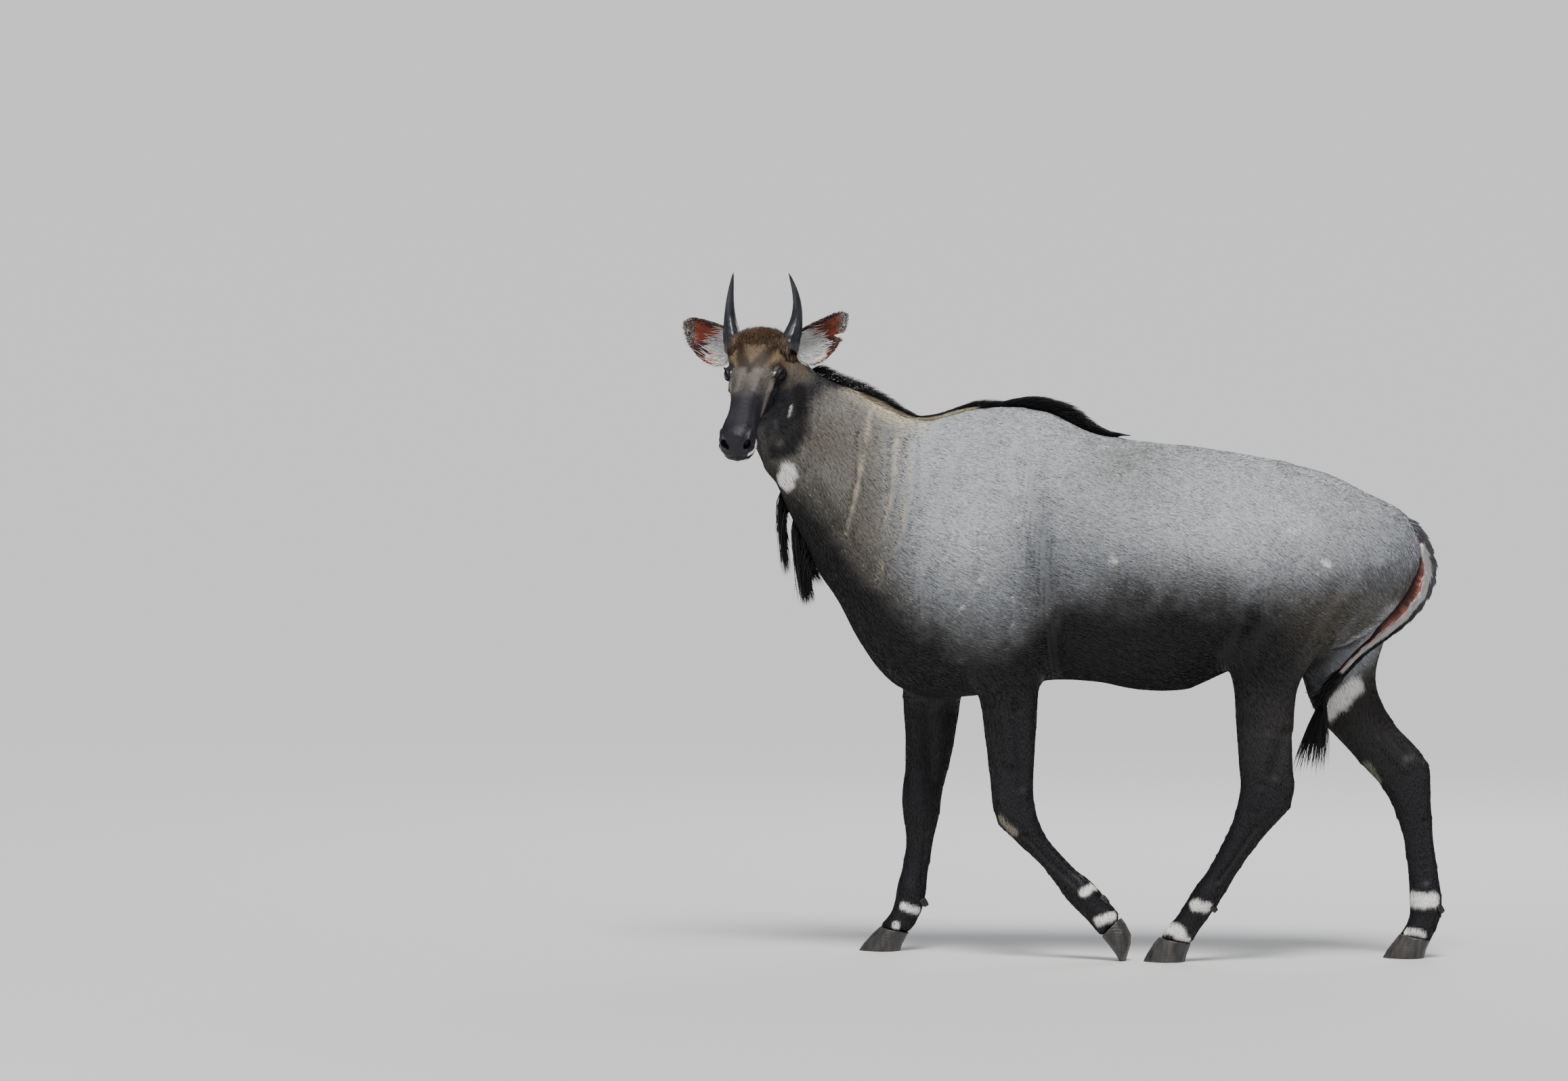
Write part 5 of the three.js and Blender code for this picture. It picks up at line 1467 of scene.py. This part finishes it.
def make_horn_group():
    """Horn that is streaked along its growth, paler where it is worn, with the height of its rings."""
    inputs = [
        ("Dark", "Color", None), ("Pale", "Color", None), ("Rings", "Float", 30.0),
        ("Least roughness", "Float", 0.3), ("Most roughness", "Float", 0.6),
    ]
    outputs = [("Colour", "Color"), ("Roughness", "Float"), ("Height", "Float")]
    tree, source, out = new_group("Streaked horn", inputs, outputs)
    place = add(tree, "TexCoord").outputs["Object"]
    squeeze = add(tree, "Mapping", {"Scale": (90, 90, 12)}, {"Vector": place})
    streak = add(tree, "TexNoise", {"Scale": 1.0, "Detail": 4.0}, {"Vector": squeeze.outputs[0]})
    worn = add(tree, "TexNoise", {"Scale": 24.0, "Detail": 3.0}, {"Vector": place})
    both = add(tree, "Math", {}, {0: streak.outputs["Fac"], 1: worn.outputs["Fac"]}, operation="MULTIPLY")
    share = add(tree, "MapRange", {"From Min": 0.14, "From Max": 0.46}, {"Value": both.outputs[0]})
    tones = {"Factor": share.outputs[0], 6: source.outputs["Dark"], 7: source.outputs["Pale"]}
    colour = add(tree, "Mix", {}, tones, data_type="RGBA")
    limits = {"To Min": source.outputs["Least roughness"], "To Max": source.outputs["Most roughness"]}
    gloss = add(tree, "MapRange", {}, {"Value": worn.outputs["Fac"], **limits})
    rings = add(tree, "TexWave", {"Distortion": 3.0, "Detail": 2.0},
                {"Vector": place, "Scale": source.outputs["Rings"]}, bands_direction="Z")
    half = add(tree, "Math", {1: 0.5}, {0: streak.outputs["Fac"]}, operation="MULTIPLY")
    total = add(tree, "Math", {}, {0: half.outputs[0], 1: rings.outputs["Fac"]}, operation="ADD")
    tree.links.new(colour.outputs[2], out.inputs["Colour"])
    tree.links.new(gloss.outputs[0], out.inputs["Roughness"])
    tree.links.new(total.outputs[0], out.inputs["Height"])
    return tree


HORN = make_horn_group()


def horn_finish(name, dark, pale, rough, ring_scale, ring_bump):
    """A finish of streaked horn, between these two colours."""
    material, tree, shader = new_finish(name)
    group = tree.nodes.new("ShaderNodeGroup")
    group.node_tree = HORN
    for label, value in (
        ("Dark", (*dark, 1)), ("Pale", (*pale, 1)), ("Rings", ring_scale),
        ("Least roughness", rough - 0.1), ("Most roughness", rough + 0.12),
    ):
        group.inputs[label].default_value = value
    tree.links.new(group.outputs["Colour"], shader.inputs["Base Color"])
    tree.links.new(group.outputs["Roughness"], shader.inputs["Roughness"])
    height = {"Height": group.outputs["Height"]}
    relief = add(tree, "Bump", {"Strength": ring_bump, "Distance": 0.001}, height)
    tree.links.new(relief.outputs[0], shader.inputs["Normal"])
    return material


hoof_horn = horn_finish("hoof_horn", paint(32, 31, 34), paint(78, 73, 67), 0.45, 38.0, 0.3)
dewclaw_horn = horn_finish("dewclaw_horn", paint(20, 19, 20), paint(50, 44, 38), 0.45, 40.0, 0.3)
slate_horn = horn_finish("slate_horn", paint(17, 17, 20), paint(52, 53, 60), 0.32, 20.0, 0.22)
for node_name in sorted(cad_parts):
    if "_hoof_" in node_name:
        horny(node_name, 0.0022, 8, 0.007, hoof_horn)
    elif "_dewclaw_" in node_name:
        horny(node_name, 0.0014, 60, 0.005, dewclaw_horn, 34)


# Horns: smooth, with low rings round the base, set a little into the head
def horns():
    for word in ("left", "right"):
        mesh = remeshed(node_copy(["horn_" + word]), 0.0022, "horn_" + word + "_sheath")
        q = own_points(mesh)
        low, high = q[:, 2].min(), q[:, 2].max()
        q = settled(mesh, q, 0.5, 30)
        put_points(mesh, q)
        n = normals_of(mesh)
        t = (q[:, 2] - low) / (high - low)
        wave = np.sin(t * 62 + 2.5 * cloud(q, 0.03, 9)) * (1 - ramp(0.15, 0.42, t))
        q += n * (0.0006 * wave * ramp(0.0, 0.1, t))[:, None]
        facing_down = (n[:, 2] < -0.35) & (t < 0.22)
        q[:, 2] -= 0.012 * facing_down
        put_points(mesh, q)
        q = settled(mesh, q, 0.4 * (t < 0.25), 3, 0)
        put_points(mesh, q)
        piece_from(mesh, "horn_" + word + "_sheath", slate_horn, "horn_" + word)


horns()


# Ears
EAR_RED = paint(164, 80, 60)
EAR_SHADE_RED = paint(66, 24, 20)
EAR_BACK = paint(96, 92, 90)
EAR_LENGTH = 0.152


def ear_frame(side):
    """Root of an ear, and the directions along it and ahead of it."""
    root = on_head(-0.112, side * 0.062, 0.022)
    along = unit(HEAD_LEFT * side - 0.2 * LEVEL)
    facing = LEVEL + 0.25 * side * HEAD_LEFT
    return root, along, unit(facing - along * (facing @ along))


def ears():
    meshes = {}
    for word, side in SIDES:
        mesh = remeshed(node_copy(["ear_" + word]), 0.0017, "ear_" + word + "_leaf")
        q = own_points(mesh)
        q = settled(mesh, q, 0.5, 40)
        q = settled(mesh, q, 0.4, 4, 0)
        root, along, ahead = ear_frame(side)
        put_points(mesh, q)
        n = normals_of(mesh)
        far = (q - root) @ along / EAR_LENGTH
        ribs = np.sin(((q[:, 2] - root[2]) / 0.011)) * ramp(0.15, 0.4, far)
        ribs = ribs * (1 - ramp(0.7, 0.95, far)) * ramp(0.1, 0.5, n @ ahead)
        q += n * (0.0007 * ribs)[:, None]
        q += unit(root - q) * (np.exp(-((far / 0.12) ** 2)) * 0.010)[:, None]
        put_points(mesh, q)
        inside = ramp(-0.05, 0.35, n @ ahead)
        colour = np.tile(EAR_BACK, (len(q), 1))
        up = q[:, 2] - root[2]
        # Painted shade inside the ear's cup: darker red under its upper edge and deep in the cup by the root
        streak = np.exp(-(((far - 0.58) / 0.22) ** 2) - ((up - 0.038) / 0.014) ** 2)
        cup = over(np.tile(EAR_RED, (len(q), 1)), EAR_SHADE_RED * 0.8, 0.95 * streak)
        low_edge = np.exp(-(((far - 0.76) / 0.15) ** 2) - ((up + 0.012 - 0.008 * side) / 0.020) ** 2)
        cup = over(cup, EAR_SHADE_RED, 0.8 * (1 - ramp(0.1, 0.3, far)) * ramp(0.0, 0.03, up))
        pale = np.exp(-(((far - 0.22) / 0.18) ** 2) - ((up + 0.014) / 0.026) ** 2)
        cup = over(cup, WHITE_HAIR * 0.8, np.clip(1.1 * pale, 0, 1))
        cup = over(cup, MANE_BLACK * 1.4, np.clip(1.4 * low_edge, 0, 1))
        colour = over(colour, cup, inside)
        tip = ramp(0.80, 0.93, far + 0.1 * (cloud(q, 0.012, 4) - 0.5))
        colour = over(colour, FACE_GREY * 1.6, 0.8 * tip)
        write_markings(mesh, np.clip(colour, 0, 1), 0)
        piece_from(mesh, "ear_" + word + "_leaf", hide, "ear_" + word)
        meshes[side] = mesh
    return meshes


ear_meshes = ears()


def ear_hair(name, side, pick, count, seed, length, width, colour, spread, start, end):
    """Hair on an ear: pick gives the chance of a place from how far out, how high and how far ahead it is."""
    mesh = ear_meshes[side]
    draw = np.random.default_rng(seed)
    q, n = own_points(mesh), normals_of(mesh)
    root, along, ahead = ear_frame(side)
    weight = pick((q - root) @ along / EAR_LENGTH, q[:, 2] - root[2], n @ ahead) * 1.0
    chosen = draw.choice(len(q), size=count, p=weight / weight.sum())
    p, n = q[chosen] + 0.001 * draw.normal(size=(count, 3)), n[chosen]
    outwards = unit(p - root) * 0.7 + along * 0.6
    lie = unit(outwards + 0.25 * draw.normal(size=(count, 3)))
    lie = unit(lie - n * np.sum(lie * n, axis=1, keepdims=True))
    long = length * (0.6 + 0.7 * draw.random(count))
    wide = width * (0.7 + 0.6 * draw.random(count))
    tone = varied(draw, colour, count, spread)
    if length < 0.02:
        tufts(name, p, n, lie, long, wide, wide * 0.3, long * math.cos(start), tone, draw)
        return
    start, end = np.full(count, start), np.full(count, end)
    line, sides = grown(p, n, lie, long, start, end, 0.002 * draw.normal(size=count), 0.0012)
    locks(name, line, sides, wide, wide * 0.4, tone, p)


def edge_near(facing):
    return np.exp(-((facing / 0.35) ** 2))


def tuft_place(far, up, facing):
    return (facing > 0.05) * np.exp(-(((far - 0.25) / 0.19) ** 2) - ((up + 0.014) / 0.023) ** 2)


def lower_edge(far, up, facing):
    return (up < -0.012) * (far > 0.05) * (far < 0.62) * edge_near(facing)


def upper_edge(far, up, facing):
    return ((up > 0.0) * (far > 0.2) | (far > 0.62)) * edge_near(facing)


# Name, where, how many, seed, length, width, colour and its spread, angles at root and tip
EAR_HAIR = [
    ("white_tuft", tuft_place, 1300, 51, 0.036, 0.0015, WHITE_HAIR * 1.1, 0.10, 1.2, 1.47),
    ("lower_fringe", lower_edge, 1600, 53, 0.011, 0.0010, WHITE_HAIR, 0.12, 1.15, 1.45),
    ("edge_hair", upper_edge, 2200, 55, 0.0045, 0.0009, MANE_BLACK * 2, 0.5, 1.3, 1.5),
    ("tip_hair", lambda far, up, facing: ramp(0.84, 0.95, far),
     900, 57, 0.005, 0.0009, WHITE_HAIR * 0.8, 0.3, 1.3, 1.5),
    ("back_hair", lambda far, up, facing: facing < -0.05,
     9000, 59, 0.008, 0.0012, EAR_BACK, 0.3, 1.42, 1.53),
    ("cup_hair", lambda far, up, facing: (facing > 0.2) * (far > 0.3),
     1200, 61, 0.006, 0.0006, EAR_RED * 0.9, 0.5, 1.42, 1.53),
    ("root_hair", lambda far, up, facing: (far < 0.16) * (facing < 0.3),
     1800, 63, 0.013, 0.0012, FACE_GREY, 0.3, 1.35, 1.5),
]
for word, side in SIDES:
    for label, pick, count, seed, *row in EAR_HAIR:
        ear_hair("ear_" + word + "_" + label, side, pick, count, seed + side, *row)


# Eyes: dark glossy balls with a level pupil, and a dark wet edge to the lids
def eye_finish():
    material, tree, shader = new_finish("eye_dark")
    colour = add(tree, "Attribute", attribute_name="Coat")
    place = add(tree, "TexCoord")
    grain = add(tree, "TexNoise", {"Scale": 900.0, "Detail": 3.0}, {"Vector": place.outputs["Object"]})
    tones = {6: colour.outputs["Color"], 7: grain.outputs["Color"]}
    mix = add(tree, "Mix", {"Factor": 0.35}, tones, data_type="RGBA", blend_type="MULTIPLY")
    tree.links.new(mix.outputs[2], shader.inputs["Base Color"])
    shader.inputs["Roughness"].default_value = 0.09
    shader.inputs["Specular IOR Level"].default_value = 0.26
    return material


def eyes():
    finish = eye_finish()
    for word, side in SIDES:
        bm = bmesh.new()
        bmesh.ops.create_uvsphere(bm, u_segments=64, v_segments=40, radius=EYE_RADIUS - 0.0003)
        mesh = mesh_from(bm, "eyeball_" + word)
        out, long, high = eye_axes(side)
        d = points_of(mesh)
        unit_d = unit(d)
        x, y, z = unit_d @ long, unit_d @ high, unit_d @ out
        bulge = 0.0011 * np.exp(-((np.hypot(x, y) / 0.55) ** 4)) * (z > 0)
        centre = eye_centre(side)
        set_points(mesh, d + unit_d * bulge[:, None] + centre - OFFSET)
        ring = np.hypot(x / 0.62, y / 0.62)
        pupil = (1 - ramp(0.85, 1.05, np.hypot(x / 0.42, y / 0.20))) * (z > 0)
        colour = np.tile(paint(26, 15, 9), (len(d), 1))
        colour = over(colour, paint(4, 4, 6), pupil)
        colour = over(colour, paint(9, 6, 5), ramp(0.85, 1.0, ring))
        colour = over(colour, paint(40, 28, 24), ramp(1.15, 1.4, ring))
        write_colour(mesh, "Coat", colour)
        piece_from(mesh, "eyeball_" + word, finish, "eye_" + word)


def lid_rim(side, t, wider=1.0, taller=1.0):
    """At turns t round an eye's opening: directions from its centre to the rim, and outwards along its face."""
    out, long, high = eye_axes(side)
    x = LID_HALF_LONG * wider * np.cos(t)
    y = LID_HALF_HIGH * (1 - 0.35 * np.cos(t) ** 2) * np.sin(t) * taller
    z = np.sqrt(np.maximum(EYE_RADIUS**2 - x**2 - y**2, 1e-8))
    flat = x[:, None] * long + y[:, None] * high
    return unit(flat + z[:, None] * out), unit(flat)


LID_TURNS, LID_SIDES = 72, 8
LID_EDGE_RADIUS = 0.0013


def lid_edges():
    """A grid rolled into a ring round each eye's opening, its seams merged."""
    material = finish_of("wet_lid", 0.2, 500.0, 0.35, 0.2, 0.0003, 0.2, flat=paint(12, 10, 11))
    for word, side in SIDES:
        bm = bmesh.new()
        bmesh.ops.create_grid(bm, x_segments=LID_TURNS, y_segments=LID_SIDES, size=0.5)
        mesh = mesh_from(bm, "lid_edge_" + word)
        t, s, _ = (2 * np.pi * (points_of(mesh) + 0.5)).T
        away, across = lid_rim(side, t)
        q = eye_centre(side) + away * (EYE_RADIUS + 0.0010)
        q += LID_EDGE_RADIUS * (away * np.sin(s)[:, None] + across * np.cos(s)[:, None])
        put_points(mesh, q)
        bm = bmesh_of(mesh)
        bmesh.ops.remove_doubles(bm, verts=bm.verts, dist=1e-6)
        bmesh.ops.recalc_face_normals(bm, faces=bm.faces)
        bm.to_mesh(mesh)
        bm.free()
        piece_from(mesh, "lid_edge_" + word, material)


eyes()
lid_edges()


def lashes():
    draw = np.random.default_rng(71)
    for word, side in SIDES:
        out, long, high = eye_axes(side)
        count = 90
        t = np.pi * (0.06 + 0.88 * draw.random(count))
        d, _ = lid_rim(side, t, 1.03, 1.06)
        p = eye_centre(side) + d * (EYE_RADIUS + 0.0018)
        n = unit(d + 0.5 * out)
        lie = unit(high * 0.3 + long * (0.9 * np.cos(t))[:, None])
        lie = unit(lie - n * np.sum(lie * n, axis=1, keepdims=True))
        length = 0.0060 * (0.7 + 0.5 * draw.random(count))
        start, end = np.full(count, 0.3), np.full(count, 0.9)
        line, sides = grown(p, n, lie, length, start, end, 0.001 * draw.normal(size=count), 0.001)
        wide = np.full(count, 0.0007)
        locks("lashes_" + word, line, sides, wide, wide * 0.7, varied(draw, MANE_BLACK, count, 0.2), p)


lashes()


def crown_hair():
    """Longer brown hair on the crown between the horns and round their bases."""
    draw = np.random.default_rng(81)
    a, l, u = in_head(skin_points)
    top = headness(skin_points) * np.exp(-(((a + 0.092) / 0.030) ** 2) - (l / 0.045) ** 2) * (u > 0.02)
    collar = np.zeros(len(skin_points))
    for side in (1, -1):
        base = on_head(-0.094, side * 0.070, 0.022)
        far = np.linalg.norm(skin_points - base, axis=1)
        collar = np.maximum(collar, np.exp(-(((far - 0.032) / 0.010) ** 2)) * (a < -0.045))
    for name, weight, count, length, colour in (
        ("crown_hair", top, 9000, 0.011, CROWN_BROWN),
        ("horn_collar_hair", collar, 6500, 0.020, CROWN_BROWN * 0.8),
    ):
        chosen = draw.choice(len(skin_points), size=count, p=weight / weight.sum())
        p = skin_points[chosen] + 0.0012 * draw.normal(size=(count, 3))
        n = skin_normals[chosen]
        lie = lie_of(p, n)
        if name == "horn_collar_hair":
            lie = np.tile(np.array([0.0, 0.0, 1.0]), (count, 1))
        lie = unit(lie + 0.3 * draw.normal(size=(count, 3)))
        lie = unit(lie - n * np.sum(lie * n, axis=1, keepdims=True))
        long = length * (0.6 + 0.7 * draw.random(count))
        wide = 0.0010 * (0.7 + 0.6 * draw.random(count))
        tone = varied(draw, colour, count, 0.55)
        tan = draw.random(count) < 0.16
        tone = np.where(tan[:, None], FOREHEAD * 1.1, tone)
        lift = long * (0.15 + 0.35 * draw.random(count))
        tufts(name, p, n, lie, long, wide, wide * 0.4, lift, tone, draw)


crown_hair()


def make_stage():
    bm = bmesh.new()
    bmesh.ops.create_grid(bm, x_segments=1, y_segments=1, size=300)
    mesh = mesh_from(bm, "floor")
    floor = object_from(mesh, "floor")
    material, _, shader = new_finish("floor")
    shader.inputs["Base Color"].default_value = (0.72, 0.71, 0.69, 1)
    shader.inputs["Roughness"].default_value = 0.8
    mesh.materials.append(material)


def soft_light(name, place, aim, size, power):
    data = bpy.data.lights.new(name, "AREA")
    data.shape = "SQUARE"
    data.size = size
    data.energy = power
    obj = bpy.data.objects.new(name, data)
    bpy.context.scene.collection.objects.link(obj)
    obj.location = place
    obj.rotation_euler = (Vector(aim) - Vector(place)).to_track_quat("-Z", "Y").to_euler()


def high_key(direction, strength, spread):
    """A broad far light, soft at the edges of its shadows."""
    data = bpy.data.lights.new("key", "SUN")
    data.energy = strength
    data.angle = math.radians(spread)
    obj = bpy.data.objects.new("key", data)
    bpy.context.scene.collection.objects.link(obj)
    obj.location = direction
    obj.rotation_euler = (-Vector(direction)).to_track_quat("-Z", "Y").to_euler()


make_stage()
high_key((0.5, -2.2, 4.2), 3.6, 22)
soft_light("fill", (-4.0, -5.0, 2.0), (0, 0, 0.9), 4.0, 60)
soft_light("back", (1.0, 4.5, 4.0), (0, 0, 1.0), 3.0, 90)
world = bpy.data.worlds.new("studio")
bpy.context.scene.world = world
world.use_nodes = True
world.node_tree.nodes["Background"].inputs["Color"].default_value = (0.88, 0.92, 1.0, 1)
world.node_tree.nodes["Background"].inputs["Strength"].default_value = 0.36
